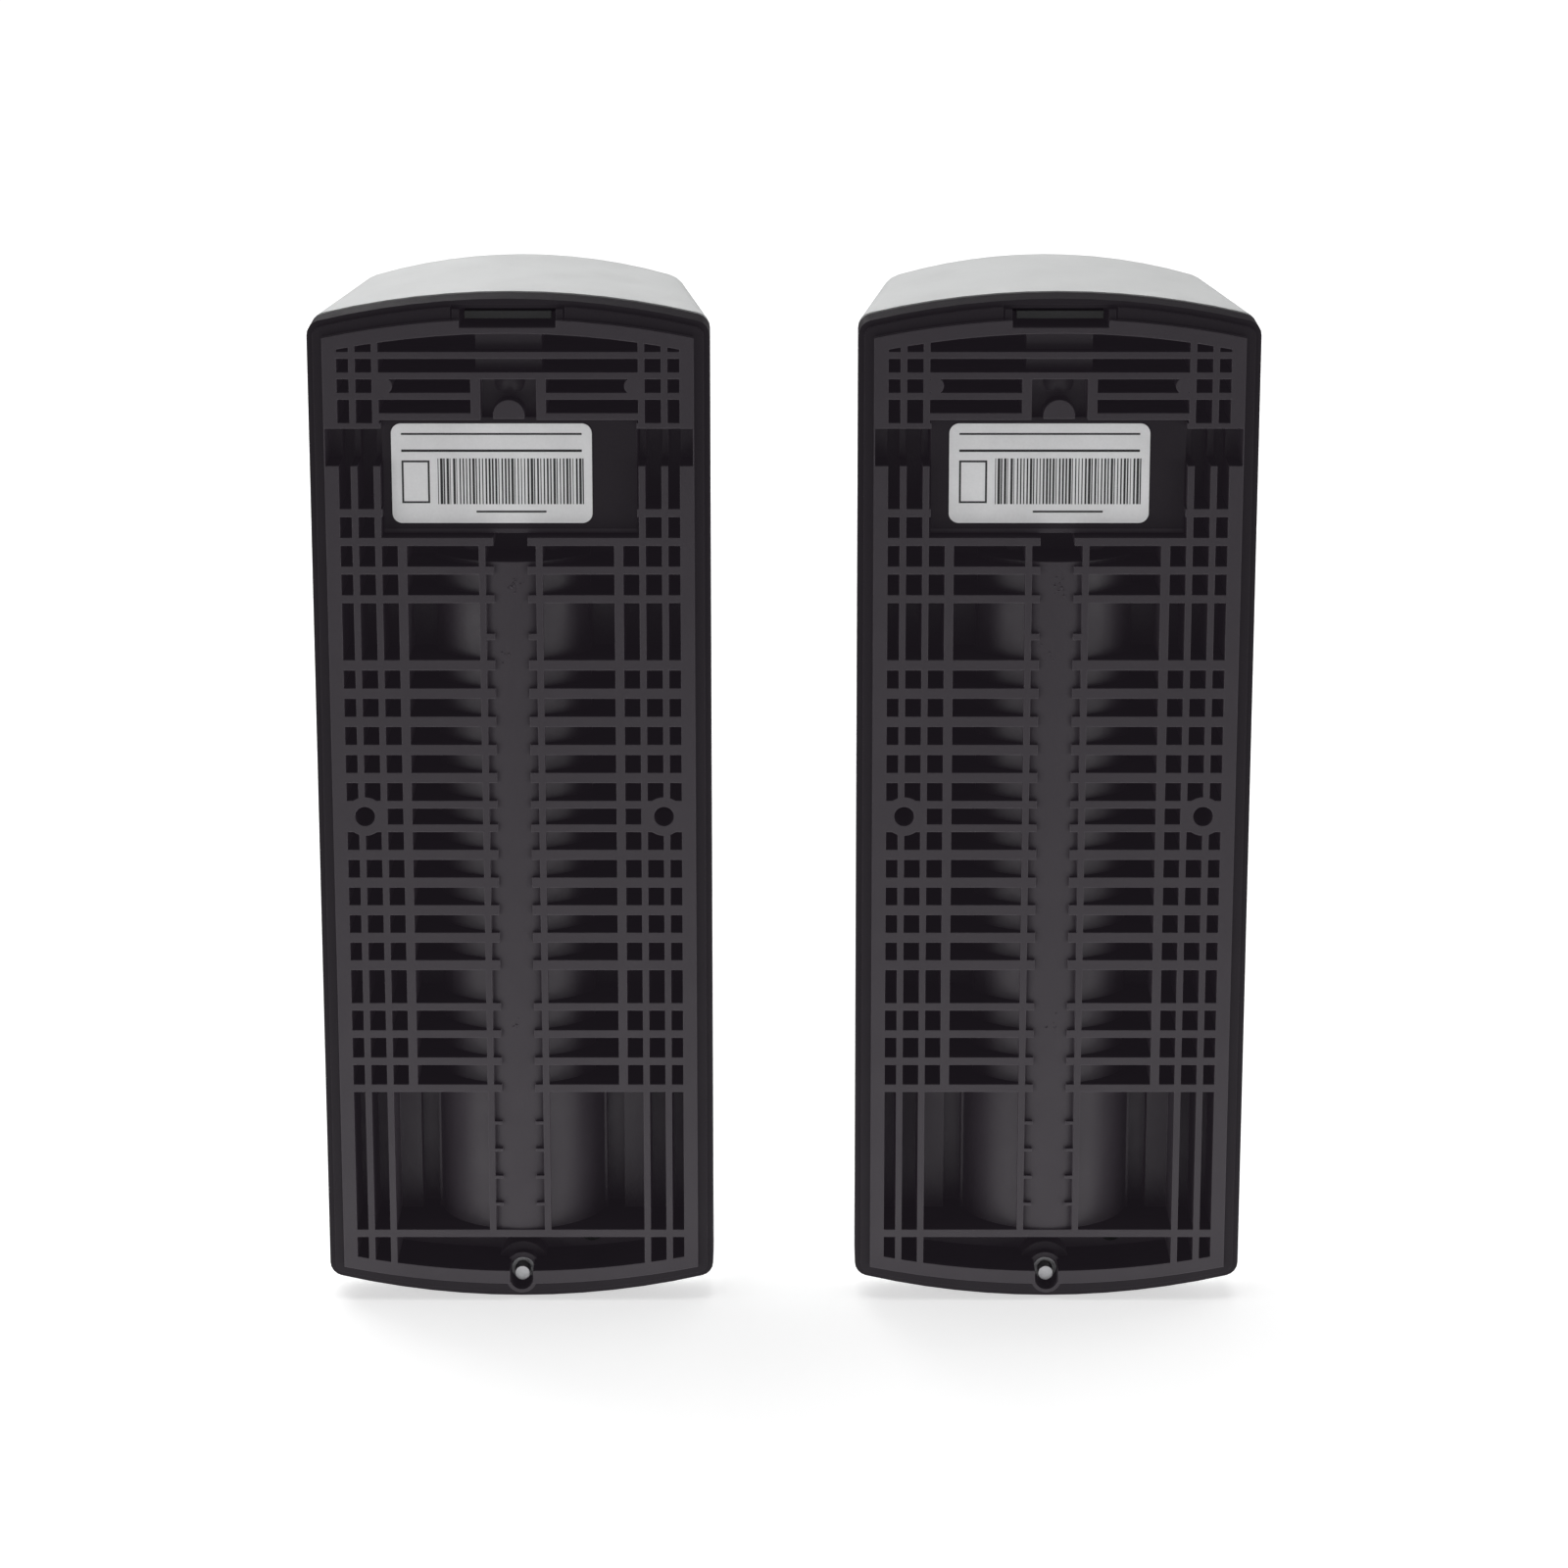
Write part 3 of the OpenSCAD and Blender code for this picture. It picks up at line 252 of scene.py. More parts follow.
def tinted(mat, where, colour, patch, fine, size=14 * MM):
    """A colour that drifts a little over the surface."""
    drift = span(mat, noise(mat, where, size), 0.3, 0.7, -patch, patch)
    grain = span(mat, noise(mat, where, 0.5 * MM, 2), 0.3, 0.7, -fine, fine)
    level = sums(mat, "ADD", sums(mat, "ADD", drift, grain), 1.0)
    tone = mat.node_tree.nodes.new("ShaderNodeVectorMath")
    tone.operation = "SCALE"
    tone.inputs[0].default_value = colour
    mat.node_tree.links.new(level, tone.inputs["Scale"])
    return tone.outputs[0]


# ---- Materials

def moulded(name, colour, rough, grain=0.3 * MM, depth=0.012 * MM, patch=0.06, edge=0.25 * MM,
            worn=0.0, **sockets):
    """Moulded plastic: fine grain, drifting gloss, edges that catch light, painted edge highlights.
    """
    mat, shader, where = start(name, colour, rough, **sockets)
    tone = tinted(mat, where, colour, patch, patch / 2)
    normal = rounded(mat, edge)
    # Painted highlight: where the rounded normal leans off the true one, the colour is lightened
    # along the edges
    if worn:
        facing = mat.node_tree.nodes.new("ShaderNodeVectorMath")
        facing.operation = "DOT_PRODUCT"
        geometry = mat.node_tree.nodes.new("ShaderNodeNewGeometry")
        mat.node_tree.links.new(normal, facing.inputs[0])
        mat.node_tree.links.new(geometry.outputs["Normal"], facing.inputs[1])
        edges = span(mat, facing.outputs["Value"], *HIGHLIGHT_LEAN, 0.0, worn)
        tone = mix(mat, edges, tone, tuple(min(1.0, c * HIGHLIGHT_GAIN + HIGHLIGHT_LIFT) for c in colour))
    mat.node_tree.links.new(tone, shader.inputs["Base Color"])
    gloss = span(mat, noise(mat, where, 9 * MM, 4), 0.3, 0.7, rough - 0.06, rough + 0.06)
    mat.node_tree.links.new(gloss, shader.inputs["Roughness"])
    cells = add(mat, "ShaderNodeTexVoronoi", {"feature": "SMOOTH_F1"}, Vector=where,
                Scale=1 / grain)
    fine = noise(mat, where, grain / 2, 3)
    bump(mat, shader, sums(mat, "ADD", cells, fine), depth, 1.0, normal)
    return mat


def housing(name, colour, rough, **settings):
    """Black moulding with painted shade on up-facing walls, rim, screw socket and label recess."""
    mat = moulded(name, colour, rough, **settings)
    shader = mat.node_tree.nodes["Principled BSDF"]
    where = mat.node_tree.nodes.new("ShaderNodeTexCoord").outputs["Object"]
    x, y, z = axes(mat, where)
    pressed = mat.node_tree.nodes.new("ShaderNodeCombineXYZ")
    mat.node_tree.links.new(x, pressed.inputs[0])
    mat.node_tree.links.new(z, pressed.inputs[2])
    # Zones that get painted shade: the rim round the raised block, the deep screw socket and the
    # label recess
    shaded_zones = None
    for unit, left in UNITS.items():
        across = sums(mat, "ABSOLUTE", sums(mat, "SUBTRACT", x, left))
        bow = sums(mat, "DIVIDE", sums(mat, "MULTIPLY", across, across), 2 * BLOCK_ARC_R)
        above = sums(mat, "GREATER_THAN", sums(mat, "ADD", z, bow), BLOCK_TOP)
        below = sums(mat, "LESS_THAN", sums(mat, "SUBTRACT", z, bow), BLOCK_BOTTOM)
        beside = sums(mat, "GREATER_THAN", across, BLOCK_X)
        near = sums(mat, "LESS_THAN", across, UNIT_REACH)
        boss = add(mat, "ShaderNodeVectorMath", {"operation": "DISTANCE"}, Vector=where)
        boss.node.inputs[1].default_value = (left, BOSS_Y, SCREW_Z)
        off_boss = sums(mat, "GREATER_THAN", boss.node.outputs["Value"], BOSS_R)
        near = sums(mat, "MULTIPLY", near, off_boss)
        outside = sums(mat, "MAXIMUM", beside, sums(mat, "MAXIMUM", above, below))
        rim = sums(mat, "MULTIPLY", near, outside)
        socket = add(mat, "ShaderNodeVectorMath", {"operation": "DISTANCE"},
                     Vector=pressed.outputs[0])
        socket.node.inputs[1].default_value = (left, 0, SCREW_Z)
        deep = sums(mat, "MULTIPLY", sums(mat, "LESS_THAN", socket.node.outputs["Value"], SOCKET_R),
                    sums(mat, "LESS_THAN", y, SOCKET_Y))
        rim = sums(mat, "MAXIMUM", rim, deep)
        low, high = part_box(unit + "_rating_label")
        tall = sums(mat, "MULTIPLY", sums(mat, "GREATER_THAN", z, low[2] - RECESS_ROOM),
                    sums(mat, "LESS_THAN", z, high[2] + RECESS_ROOM))
        shallow = sums(mat, "GREATER_THAN", y, low[1] - RECESS_ROOM)
        sunk = sums(mat, "LESS_THAN", y, RIB_FACE)
        recess = sums(mat, "MULTIPLY", sums(mat, "LESS_THAN", across, RECESS_X),
                      sums(mat, "MULTIPLY", tall, sums(mat, "MULTIPLY", shallow, sunk)))
        zone = sums(mat, "MAXIMUM", rim, recess)
        shaded_zones = zone if shaded_zones is None else sums(mat, "MAXIMUM", shaded_zones, zone)
    # Painted shade: faces that turn upwards and the zones above are darkened in colour, and lose
    # sheen
    geometry = mat.node_tree.nodes.new("ShaderNodeNewGeometry")
    facing = axes(mat, geometry.outputs["Normal"])
    upward_shade = span(mat, sums(mat, "MAXIMUM", facing[2], 0.0), 0.3, 0.9)
    dark = sums(mat, "MAXIMUM", sums(mat, "MULTIPLY", shaded_zones, RIM_DARK),
                sums(mat, "MULTIPLY", upward_shade, WALL_DARK))
    tone = shader.inputs["Base Color"].links[0].from_socket
    mat.node_tree.links.new(mix(mat, dark, tone, (0, 0, 0)), shader.inputs["Base Color"])
    sheen = span(mat, dark, 0.0, 1.0, HOUSING_SHEEN, 0.0)
    mat.node_tree.links.new(sheen, shader.inputs["Specular IOR Level"])
    # A faint painted glow: the housing emits a little light that raises its black
    shader.inputs["Emission Color"].default_value = (*BLACK_LIFT_GLOW, 1)
    shader.inputs["Emission Strength"].default_value = 1.0
    return mat


def steel(name, colour, rough):
    """Steel with uneven gloss and fine scratches."""
    mat, shader, where = start(name, colour, rough, Metallic=1.0)
    tone = tinted(mat, where, colour, 0.08, 0.05, 2 * MM)
    mat.node_tree.links.new(tone, shader.inputs["Base Color"])
    gloss = span(mat, noise(mat, where, 0.8 * MM, 5), 0.25, 0.75, rough - 0.08, rough + 0.14)
    mat.node_tree.links.new(gloss, shader.inputs["Roughness"])
    scratch = noise(mat, where, 0.15 * MM, 2)
    bump(mat, shader, scratch, 0.004 * MM, 1.0, rounded(mat, 0.12 * MM))
    return mat


def threaded(name, colour, rough, pitch):
    """Plated steel whose shank carries a thread's ridges."""
    mat, shader, where = start(name, colour, rough, Metallic=1.0)
    tone = tinted(mat, where, colour, 0.08, 0.05, 2 * MM)
    mat.node_tree.links.new(tone, shader.inputs["Base Color"])
    ridge = sums(mat, "PINGPONG", sums(mat, "DIVIDE", axes(mat, where)[1], pitch), 0.5)
    geometry = mat.node_tree.nodes.new("ShaderNodeNewGeometry")
    across = axes(mat, geometry.outputs["Normal"])[1]
    side = sums(mat, "SUBTRACT", 1.0, sums(mat, "ABSOLUTE", across), clamp=True)
    height = sums(mat, "MULTIPLY", ridge, side)
    bump(mat, shader, height, 0.35 * MM, 0.8, rounded(mat, 0.12 * MM))
    return mat


def circuit(name, colour):
    """Solder mask over copper tracks, with rows of tinned pads."""
    mat, shader, where = start(name, colour, 0.32, Specular_IOR_Level=0.5)
    x, _, z = axes(mat, where)
    flat = mat.node_tree.nodes.new("ShaderNodeCombineXYZ")
    mat.node_tree.links.new(x, flat.inputs[0])
    mat.node_tree.links.new(z, flat.inputs[1])
    cells = add(mat, "ShaderNodeTexVoronoi", {"feature": "DISTANCE_TO_EDGE"},
                Vector=flat.outputs[0], Scale=1 / (3.4 * MM), Randomness=0.55)
    track = span(mat, cells, 0.05, 0.11, 1.0, 0.0)
    tone = tinted(mat, where, colour, 0.08, 0.04)
    tone = mix(mat, sums(mat, "MULTIPLY", track, 0.55), tone, (0.06, 0.3, 0.12))
    column = sums(mat, "DIVIDE", x, PIN_PITCH * MM)
    row = sums(mat, "DIVIDE", z, PIN_PITCH * MM)
    u = sums(mat, "SUBTRACT", sums(mat, "FRACT", column), 0.5)
    v = sums(mat, "SUBTRACT", sums(mat, "FRACT", row), 0.5)
    away = sums(mat, "SQRT", sums(mat, "ADD", sums(mat, "MULTIPLY", u, u),
                                  sums(mat, "MULTIPLY", v, v)))
    cell = mat.node_tree.nodes.new("ShaderNodeCombineXYZ")
    mat.node_tree.links.new(sums(mat, "FLOOR", column), cell.inputs[0])
    mat.node_tree.links.new(sums(mat, "FLOOR", row), cell.inputs[1])
    chance = add(mat, "ShaderNodeTexWhiteNoise", {"noise_dimensions": "2D"}, Vector=cell.outputs[0])
    pad = sums(mat, "MULTIPLY", sums(mat, "LESS_THAN", away, 0.2),
               sums(mat, "GREATER_THAN", chance, 0.62))
    tone = mix(mat, pad, tone, (0.62, 0.6, 0.55))
    mat.node_tree.links.new(tone, shader.inputs["Base Color"])
    mat.node_tree.links.new(pad, shader.inputs["Metallic"])
    bump(mat, shader, sums(mat, "ADD", track, pad), 0.03 * MM, 1.0, rounded(mat, 0.15 * MM))
    return mat


def film(name, colour):
    """Silver film with a printed border, blank ruled lines and a field of plain bars."""
    mat, shader, where = start(name, colour, 0.34, Metallic=FILM_METAL)
    x, y, z = axes(mat, where)
    mask = None
    for unit in UNITS:
        low, high = (Vector(corner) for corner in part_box(unit + "_rating_label"))
        width, height = high.x - low.x, high.z - low.z
        u = sums(mat, "DIVIDE", sums(mat, "SUBTRACT", high.x, x), width)
        v = sums(mat, "DIVIDE", sums(mat, "SUBTRACT", z, low.z), height)

        def within(value, near, far):
            return sums(mat, "MULTIPLY", sums(mat, "GREATER_THAN", value, near),
                        sums(mat, "LESS_THAN", value, far))

        def area(left_u, right_u, low_v, high_v):
            return sums(mat, "MULTIPLY", within(u, left_u, right_u), within(v, low_v, high_v))

        along = sums(mat, "MULTIPLY", u, BARS)
        chance = add(mat, "ShaderNodeTexWhiteNoise", {"noise_dimensions": "1D"},
                     W=sums(mat, "FLOOR", along))
        black = sums(mat, "LESS_THAN", sums(mat, "FRACT", along),
                     span(mat, chance, 0.0, 1.0, *BAR_SHARES))
        bars = sums(mat, "MULTIPLY", black, area(*BAR_AREA))
        first, second, third = (area(*edges) for edges in RULES)
        rules = sums(mat, "ADD", sums(mat, "ADD", first, second), third)
        frame_box = sums(mat, "SUBTRACT", area(*FRAME_OUT), area(*FRAME_IN))
        marks = sums(mat, "ADD", sums(mat, "ADD", bars, rules), frame_box, clamp=True)
        mask = marks if mask is None else sums(mat, "ADD", mask, marks, clamp=True)
    tone = tinted(mat, where, colour, 0.06, 0.02, 18 * MM)
    tone = mix(mat, mask, tone, (0.02, 0.02, 0.022))
    mat.node_tree.links.new(tone, shader.inputs["Base Color"])
    mat.node_tree.links.new(sums(mat, "MULTIPLY", sums(mat, "SUBTRACT", 1.0, mask), FILM_METAL),
                            shader.inputs["Metallic"])
    brushed = mat.node_tree.nodes.new("ShaderNodeCombineXYZ")
    for socket, value, factor in zip(brushed.inputs, (x, y, z), (0.08, 1.0, 1.0)):
        mat.node_tree.links.new(sums(mat, "MULTIPLY", value, factor), socket)
    bump(mat, shader, noise(mat, brushed.outputs[0], 0.25 * MM, 2), 0.003 * MM, 0.6)
    return mat


def smoked(name, colour):
    """Polished dark panel that passes infrared."""
    mat, shader, where = start(name, colour, 0.1, Coat_Weight=0.5, Coat_Roughness=0.05)
    tone = tinted(mat, where, colour, 0.1, 0.02, 25 * MM)
    mat.node_tree.links.new(tone, shader.inputs["Base Color"])
    smear = span(mat, noise(mat, where, 12 * MM, 5), 0.35, 0.75, 0.07, 0.16)
    mat.node_tree.links.new(smear, shader.inputs["Roughness"])
    bump(mat, shader, noise(mat, where, 8 * MM, 1), 0.02 * MM, 0.4, rounded(mat, 0.4 * MM))
    return mat


def clear(name, colour, rough=0.03):
    """Clear moulded optic."""
    mat, shader, where = start(name, colour, rough, Transmission_Weight=0.92, IOR=1.49)
    smear = span(mat, noise(mat, where, 2 * MM, 3), 0.3, 0.7, rough, rough + 0.05)
    mat.node_tree.links.new(smear, shader.inputs["Roughness"])
    bump(mat, shader, noise(mat, where, 1.5 * MM, 2), 0.003 * MM, 0.5)
    return mat


def wound(name, colour):
    """Enamelled copper wire wound in even turns, with painted shade in the grooves between them."""
    mat, shader, where = start(name, colour, 0.3, Metallic=0.6)
    turns = sums(mat, "PINGPONG", sums(mat, "DIVIDE", axes(mat, where)[1], COIL_WIRE), 0.5)
    tone = tinted(mat, where, colour, 0.15, 0.1, 3 * MM)
    # Painted shade: the colour darkens into the grooves between turns
    mat.node_tree.links.new(mix(mat, span(mat, turns, 0.0, 0.5), (0.1, 0.03, 0.01), tone),
                            shader.inputs["Base Color"])
    bump(mat, shader, turns, 0.12 * MM, 1.0)
    return mat


MATERIALS = {
    "housing_plastic": housing("housing_plastic", (0.027, 0.0232, 0.0275), 0.5, worn=0.55),
    "cover_plastic": moulded("cover_plastic", (0.8, 0.81, 0.808), 0.45, patch=0.02, edge=0.4 * MM),
    "smoked_window": smoked("smoked_window", (0.016, 0.01, 0.014)),
    "gloss_black": moulded("gloss_black", (0.018, 0.018, 0.02), 0.16, depth=0.003 * MM,
                           Coat_Weight=0.4, Coat_Roughness=0.08),
    "label_film": film("label_film", (0.8, 0.8, 0.81)),
    "rubber": moulded("rubber", (0.02, 0.02, 0.021), 0.7, depth=0.02 * MM, patch=0.12),
    "insert_steel": steel("insert_steel", (0.42, 0.42, 0.43), 0.45),
    "circuit_board": circuit("circuit_board", (0.02, 0.15, 0.06)),
    "screw_steel": threaded("screw_steel", (0.38, 0.38, 0.39), 0.4, 0.5 * MM),
    "terminal_plastic": moulded("terminal_plastic", (0.04, 0.27, 0.09), 0.4),
    "relay_case": moulded("relay_case", (0.03, 0.09, 0.35), 0.25, depth=0.004 * MM),
    "coil_wire": wound("coil_wire", (0.5, 0.2, 0.07)),
    "capacitor_sleeve": moulded("capacitor_sleeve", (0.03, 0.035, 0.08), 0.22, depth=0.004 * MM),
    "status_lamp": moulded("status_lamp", (0.55, 0.05, 0.035), 0.15, depth=0.002 * MM,
                           Transmission_Weight=0.35),
    "switch_plastic": moulded("switch_plastic", (0.035, 0.035, 0.04), 0.45),
    "mode_plastic": moulded("mode_plastic", (0.45, 0.04, 0.03), 0.3),
    "turret_plastic": moulded("turret_plastic", (0.12, 0.12, 0.125), 0.45),
    "carrier_plastic": moulded("carrier_plastic", (0.03, 0.03, 0.032), 0.5),
    "lens_glass": clear("lens_glass", (0.9, 0.94, 0.96)),
    "diode_black": moulded("diode_black", (0.02, 0.014, 0.024), 0.12, depth=0.002 * MM),
    "emitter_glass": clear("emitter_glass", (0.45, 0.5, 0.75), 0.05),
    "knob_plastic": moulded("knob_plastic", (0.72, 0.38, 0.03), 0.35),
    "white_plastic": moulded("white_plastic", (0.72, 0.72, 0.7), 0.4, patch=0.02),
}


# ---- CAD nodes

def dress():
    """Gives every CAD node the material of its slot."""
    slots = {part["node"]: part["material_slot"] for part in frame["record"]["subparts"]}
    for name, obj in frame["nodes"].items():
        mat = MATERIALS[slots[name]]
        if not obj.material_slots:
            obj.data.materials.append(mat)
        for place in obj.material_slots:
            place.material = mat


def smooth_shading():
    """A modifier that shades curved faces smoothly and keeps the edges between flat ones."""
    group = bpy.data.node_groups.new("smooth_shading", "GeometryNodeTree")
    group.interface.new_socket("Mesh", in_out="INPUT", socket_type="NodeSocketGeometry")
    group.interface.new_socket("Mesh", in_out="OUTPUT", socket_type="NodeSocketGeometry")
    nodes, links = group.nodes, group.links
    inside, outside = nodes.new("NodeGroupInput"), nodes.new("NodeGroupOutput")
    weld = nodes.new("GeometryNodeMergeByDistance")
    weld.inputs["Distance"].default_value = 0.001 * MM
    angle = nodes.new("GeometryNodeInputMeshEdgeAngle")
    sharp = nodes.new("ShaderNodeMath")
    sharp.operation = "GREATER_THAN"
    sharp.inputs[1].default_value = SMOOTH_ANGLE
    normal = nodes.new("GeometryNodeSetMeshNormal")
    normal.mode = "SHARPNESS"
    normal.inputs["Remove Custom"].default_value = True
    normal.inputs["Face Sharpness"].default_value = False
    links.new(inside.outputs[0], weld.inputs["Geometry"])
    links.new(angle.outputs["Unsigned Angle"], sharp.inputs[0])
    links.new(weld.outputs[0], normal.inputs["Mesh"])
    links.new(sharp.outputs[0], normal.inputs["Edge Sharpness"])
    links.new(normal.outputs[0], outside.inputs[0])
    for obj in frame["nodes"].values():
        obj.modifiers.new("smooth_shading", "NODES").node_group = group
        weighted = obj.modifiers.new("weighted", "WEIGHTED_NORMAL")
        weighted.mode = "FACE_AREA"
        weighted.weight = 90
        weighted.keep_sharp = True


# ---- Small pieces

def in_scene(name, data):
    """A new object in the scene."""
    obj = bpy.data.objects.new(name, data)
    bpy.context.scene.collection.objects.link(obj)
    return obj


def from_bmesh(name, shape, body, slot):
    """A flat-shaded piece from a bmesh, riding on a body."""
    mesh = bpy.data.meshes.new(name)
    bmesh.ops.recalc_face_normals(shape, faces=shape.faces)
    shape.to_mesh(mesh)
    shape.free()
    for face in mesh.polygons:
        face.use_smooth = False
    mesh.materials.append(MATERIALS[slot])
    obj = in_scene(name, mesh)
    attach(obj, body)


def coil_spring(unit):
    """The tamper plunger's wire spring, in place of its plain sleeve."""
    low, high = (Vector(corner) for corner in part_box(unit + "_tamper_spring"))
    middle = (low + high) / 2
    curve = bpy.data.curves.new(unit + "_spring_wire", "CURVE")
    curve.dimensions = "3D"
    curve.bevel_depth = WIRE_R
    curve.bevel_resolution = 3
    steps = SPRING_TURNS * SPRING_STEPS
    line = curve.splines.new("POLY")
    line.points.add(steps)
    for i, point in enumerate(line.points):
        share = i / steps
        turn = 2 * math.pi * SPRING_TURNS * share
        climb = min(max((share - SPRING_CLOSED) / (1 - 2 * SPRING_CLOSED), 0), 1)
        y = low.y + WIRE_R + (high.y - low.y - 2 * WIRE_R) * climb
        x, z = middle.x + SPRING_R * math.cos(turn), middle.z + SPRING_R * math.sin(turn)
        point.co = (x, y, z, 1)
    obj = in_scene(unit + "_spring_wire", curve)
    curve.materials.append(MATERIALS["screw_steel"])
    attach(obj, unit + "_plunger")
    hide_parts(unit + "_tamper_spring")


def block(shape, middle, size, bevel=0.0):
    """A box with rounded edges; the middle and size are in millimetres."""
    place = Matrix.LocRotScale(Vector(middle) * MM, None, Vector(size) * MM)
    verts = bmesh.ops.create_cube(shape, size=1.0, matrix=place)["verts"]
    if bevel:
        edges = list({edge for vert in verts for edge in vert.link_edges})
        bmesh.ops.bevel(shape, geom=edges, offset=bevel * MM, segments=2, affect="EDGES",
                        profile=0.5)


def turned(shape, x, z, face, profile, sides=28, stretch=1.0):
    """A turned form standing out from the board, from pairs of radius and height."""
    rings = []
    for radius, height in profile:
        ring = []
        for i in range(sides):
            turn = 2 * math.pi * i / sides
            ring.append(shape.verts.new(((x + radius * stretch * math.cos(turn)) * MM,
                                         (face - height) * MM, (z + radius * math.sin(turn)) * MM)))
        rings.append(ring)
    for near, far in zip(rings, rings[1:]):
        for i in range(sides):
            j = (i + 1) % sides
            shape.faces.new((near[i], near[j], far[j], far[i]))
    shape.faces.new(rings[0][::-1])
    shape.faces.new(rings[-1])


def gull_leg(shape, x, z, face, side, lift):
    """One bent lead of a chip, from its body down to its pad."""
    path = ((0, lift), (0.4, lift), (0.75, 0.2), (1.25, 0.2))
    outline = list(path) + [(a, b - 0.18) for a, b in reversed(path)]
    ends = [[shape.verts.new(((x + side * a) * MM, (face - b) * MM, (z + w) * MM))
             for a, b in outline] for w in (-0.21, 0.21)]
    shape.faces.new(ends[0])
    shape.faces.new(ends[1][::-1])
    count = len(outline)
    for i in range(count):
        j = (i + 1) % count
        shape.faces.new((ends[0][j], ends[0][i], ends[1][i], ends[1][j]))


def board_parts(unit, left):
    """Chips, resistors, a crystal, a varistor and a jumper on the main board's front."""
    at = left / MM
    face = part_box(unit + "_main_board")[0][1] / MM
    black, metal, amber, blue = (bmesh.new() for _ in range(4))
    for x, z, width, height, legs in CHIPS:
        block(black, (at + x, face - 0.95, z), (width, 1.5, height), 0.25)
        for i in range(legs):
            up = z + (i - (legs - 1) / 2) * LEG_PITCH
            for side in (-1, 1):
                gull_leg(metal, at + x + side * width / 2, up, face, side, 0.95)
    for i, (x, z) in enumerate(PASSIVES):
        body = black if i % 3 else amber
        block(body, (at + x, face - 0.35, z), (1.3, 0.5, 1.2), 0.08)
        for side in (-1, 1):
            block(metal, (at + x + side * 0.85, face - 0.32, z), (0.45, 0.6, 1.3), 0.1)
    x, z = CRYSTAL
    turned(metal, at + x, z, face, CRYSTAL_CAN, 36, 2.1)
    x, z = VARISTOR
    block(blue, (at + x, face - 5.2, z), (7.5, 7.0, 2.6), 1.2)
    for side in (-1, 1):
        turned(metal, at + x + side * 2.5, z, face, VARISTOR_LEAD, 12)
    x, z = HEADER
    block(black, (at + x, face - 1.25, z), (7.6, 2.5, 2.5), 0.3)
    for i in (-1, 0, 1):
        block(metal, (at + x + i * PIN_PITCH, face - 4.3, z), (0.64, 3.6, 0.64), 0.15)
    block(amber, (at + x - 1.27, face - 4.9, z), (5.0, 4.6, 2.4), 0.4)
    for name, shape, slot in (("chips", black, "switch_plastic"), ("leads", metal, "screw_steel"),
                              ("caps", amber, "knob_plastic"), ("varistor", blue, "relay_case")):
        from_bmesh(unit + "_board_" + name, shape, "housings", slot)


def gate_marks(unit, left):
    """The rough chips left where the moulding's gates were torn off, on the trough's crest."""
    shape = bmesh.new()
    for x, z, chips in GATE_MARKS:
        for _ in range(chips):
            size = random.uniform(0.25, 0.7)
            middle = (left / MM + x + random.gauss(0, 0.8), TROUGH_CREST, z + random.gauss(0, 0.9))
            place = Matrix.LocRotScale(Vector(middle) * MM,
                                       Euler([random.uniform(0, math.pi) for _ in range(3)]),
                                       Vector((size, size * 0.5, size * 0.7)) * MM)
            bmesh.ops.create_icosphere(shape, subdivisions=1, radius=0.5, matrix=place)
    from_bmesh(unit + "_gate_marks", shape, "housings", "housing_plastic")


# ---- Room, light and camera

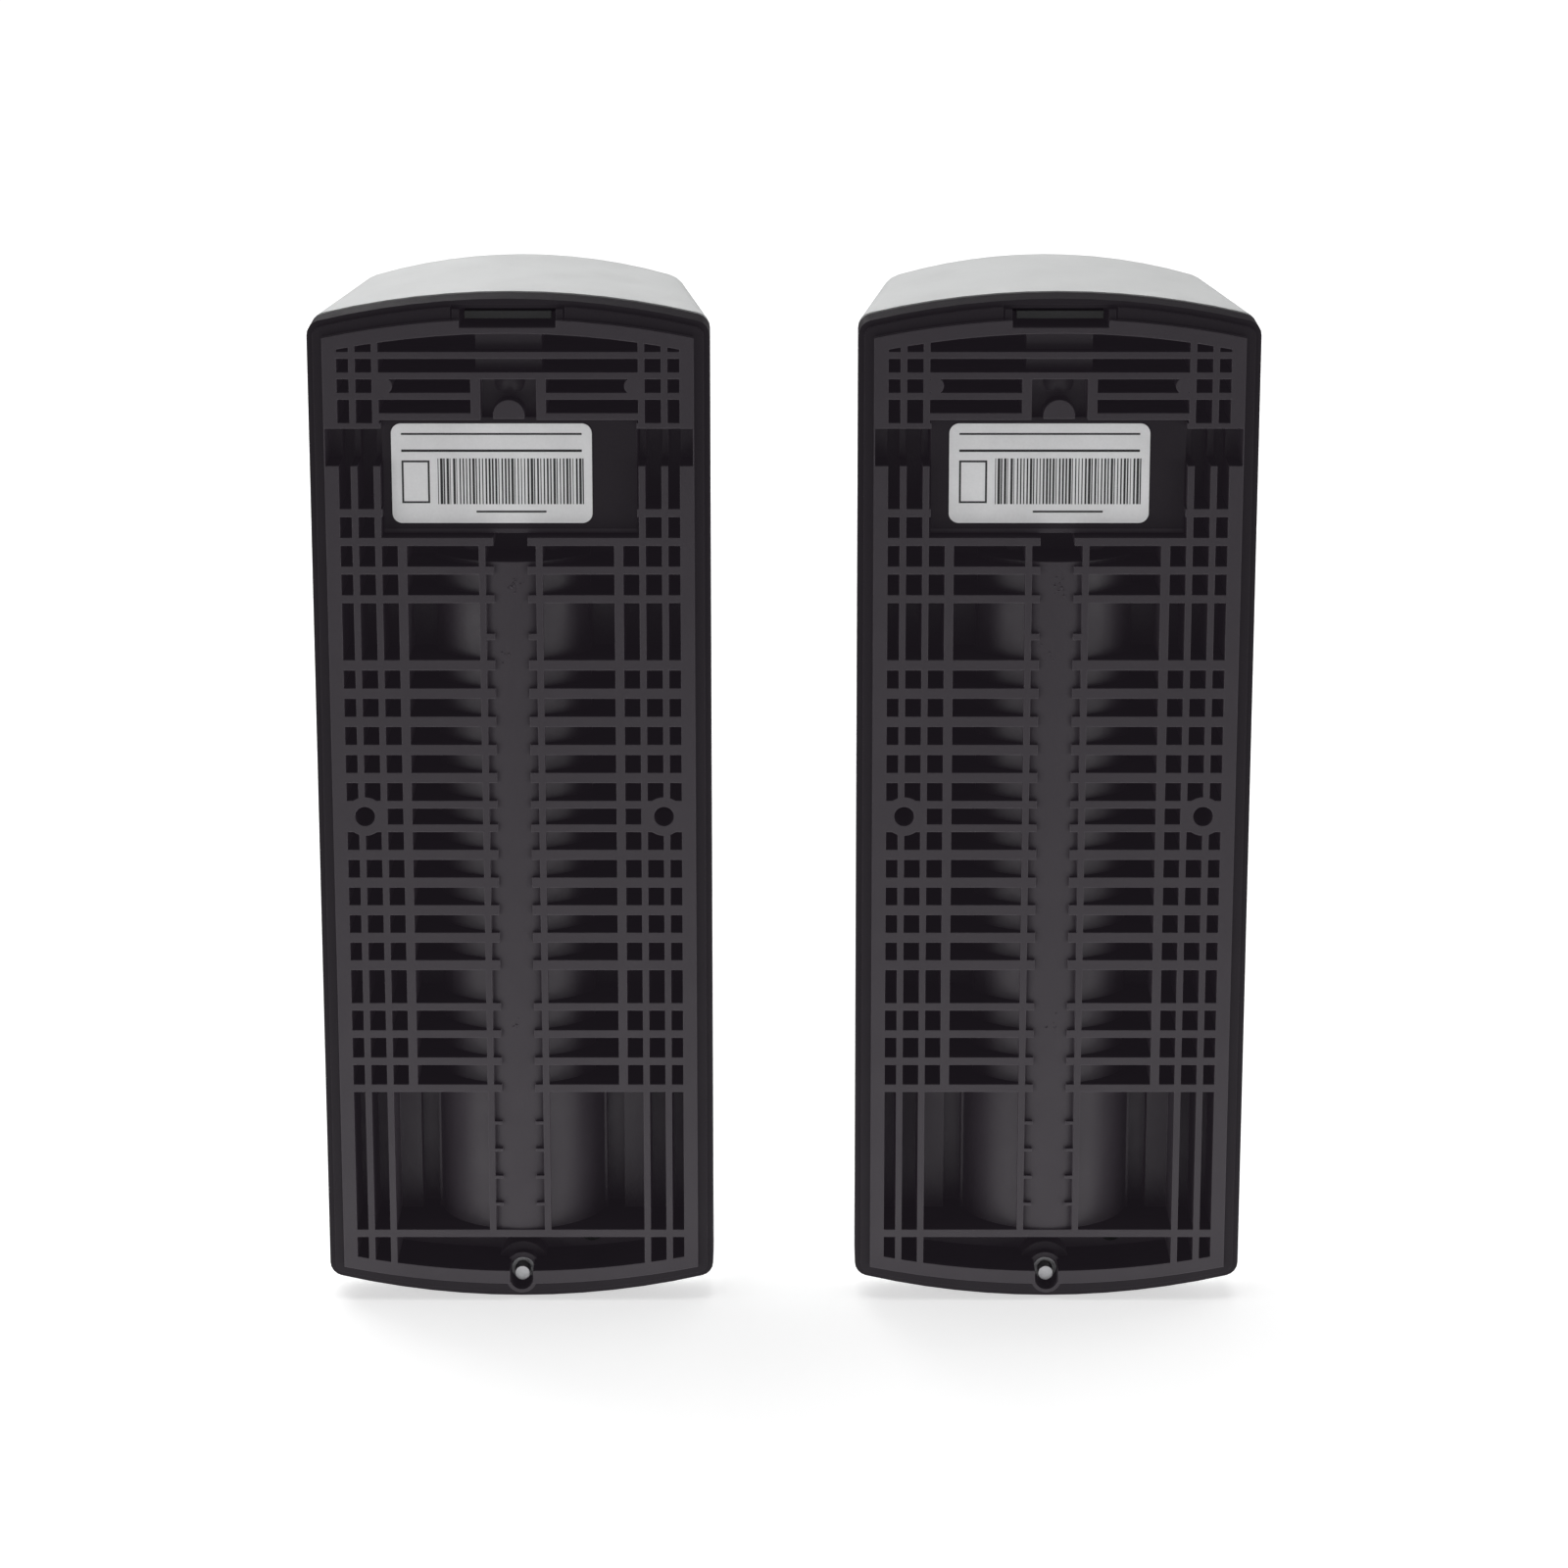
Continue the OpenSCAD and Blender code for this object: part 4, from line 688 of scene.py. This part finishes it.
def stage():
    """A pale floor that reads as white to the camera and keeps the shadow."""
    low = CAD_BOX[0]
    mesh = bpy.data.meshes.new("floor")
    z = low[2] - FLOOR_GAP
    corners = ((-1, -1), (1, -1), (1, 1), (-1, 1))
    mesh.from_pydata([(a * FLOOR_HALF, b * FLOOR_HALF, z) for a, b in corners], [], [(0, 1, 2, 3)])
    floor = in_scene("floor", mesh)
    mat, shader, where = start("floor", (0.92, 0.92, 0.92), 0.9, Specular_IOR_Level=0.1)
    x, y, _ = axes(mat, where)
    across = sums(mat, "SUBTRACT", x, PAIR_X)
    away = sums(mat, "SQRT", sums(mat, "ADD", sums(mat, "MULTIPLY", across, across),
                                  sums(mat, "MULTIPLY", y, y)))
    lift = span(mat, away, *FLOOR_LIFT)
    path = mat.node_tree.nodes.new("ShaderNodeLightPath")
    seen = path.outputs["Is Camera Ray"]
    glow = span(mat, away, *FLOOR_GLOW)
    glow = sums(mat, "MULTIPLY", glow, span(mat, y, *FRONT_GLOW))
    strength = sums(mat, "ADD", sums(mat, "MULTIPLY", seen, lift),
                    sums(mat, "MULTIPLY", sums(mat, "SUBTRACT", 1.0, seen), glow))
    shader.inputs["Emission Color"].default_value = (1, 1, 1, 1)
    mat.node_tree.links.new(strength, shader.inputs["Emission Strength"])
    floor.data.materials.append(mat)


def area_light(name, place, target, size, power):
    """A soft box at a place, turned to its target and hidden from the camera."""
    data = bpy.data.lights.new(name, "AREA")
    data.shape = "RECTANGLE"
    data.size, data.size_y = size
    data.energy = power
    obj = in_scene(name, data)
    obj.location = place
    obj.visible_camera = False
    obj.rotation_euler = (Vector(target) - Vector(place)).to_track_quat("-Z", "Y").to_euler()


def light():
    """Soft light from above, from both sides of the camera and on the fronts, in a dim room."""
    for name, (x, y, z), height, size, power in LIGHTS:
        area_light(name, (PAIR_X + x, y, z), (PAIR_X, 0, height), size, power)
    world = bpy.data.worlds.new("room")
    bpy.context.scene.world = world
    world.use_nodes = True
    tree = world.node_tree
    back = tree.nodes["Background"]
    back.inputs["Color"].default_value = (1, 1, 1, 1)
    path = tree.nodes.new("ShaderNodeLightPath")
    seen = tree.nodes.new("ShaderNodeMath")
    seen.operation = "MAXIMUM"
    tree.links.new(path.outputs["Is Camera Ray"], seen.inputs[0])
    tree.links.new(path.outputs["Is Transmission Ray"], seen.inputs[1])
    level = tree.nodes.new("ShaderNodeMapRange")
    tree.links.new(seen.outputs[0], level.inputs["Value"])
    level.inputs["To Min"].default_value = ROOM_LEVEL
    level.inputs["To Max"].default_value = 1.0
    tree.links.new(level.outputs[0], back.inputs["Strength"])


def camera():
    """The photograph's camera."""
    data = bpy.data.cameras.new("camera")
    data.sensor_width = SENSOR
    data.lens = CAMERA_LENS
    data.clip_start = 0.01
    obj = in_scene("camera", data)
    target = Vector((PAIR_X, 0, CAMERA_HEIGHT))
    obj.location = target + CAMERA_DISTANCE * Vector((0, math.cos(CAMERA_ELEVATION),
                                                      math.sin(CAMERA_ELEVATION)))
    obj.rotation_euler = (target - obj.location).to_track_quat("-Z", "Y").to_euler()
    bpy.context.scene.camera = obj


dress()
smooth_shading()
for unit, left in UNITS.items():
    coil_spring(unit)
    board_parts(unit, left)
    gate_marks(unit, left)
stage()
light()
camera()
bpy.context.scene.view_settings.view_transform = "Standard"
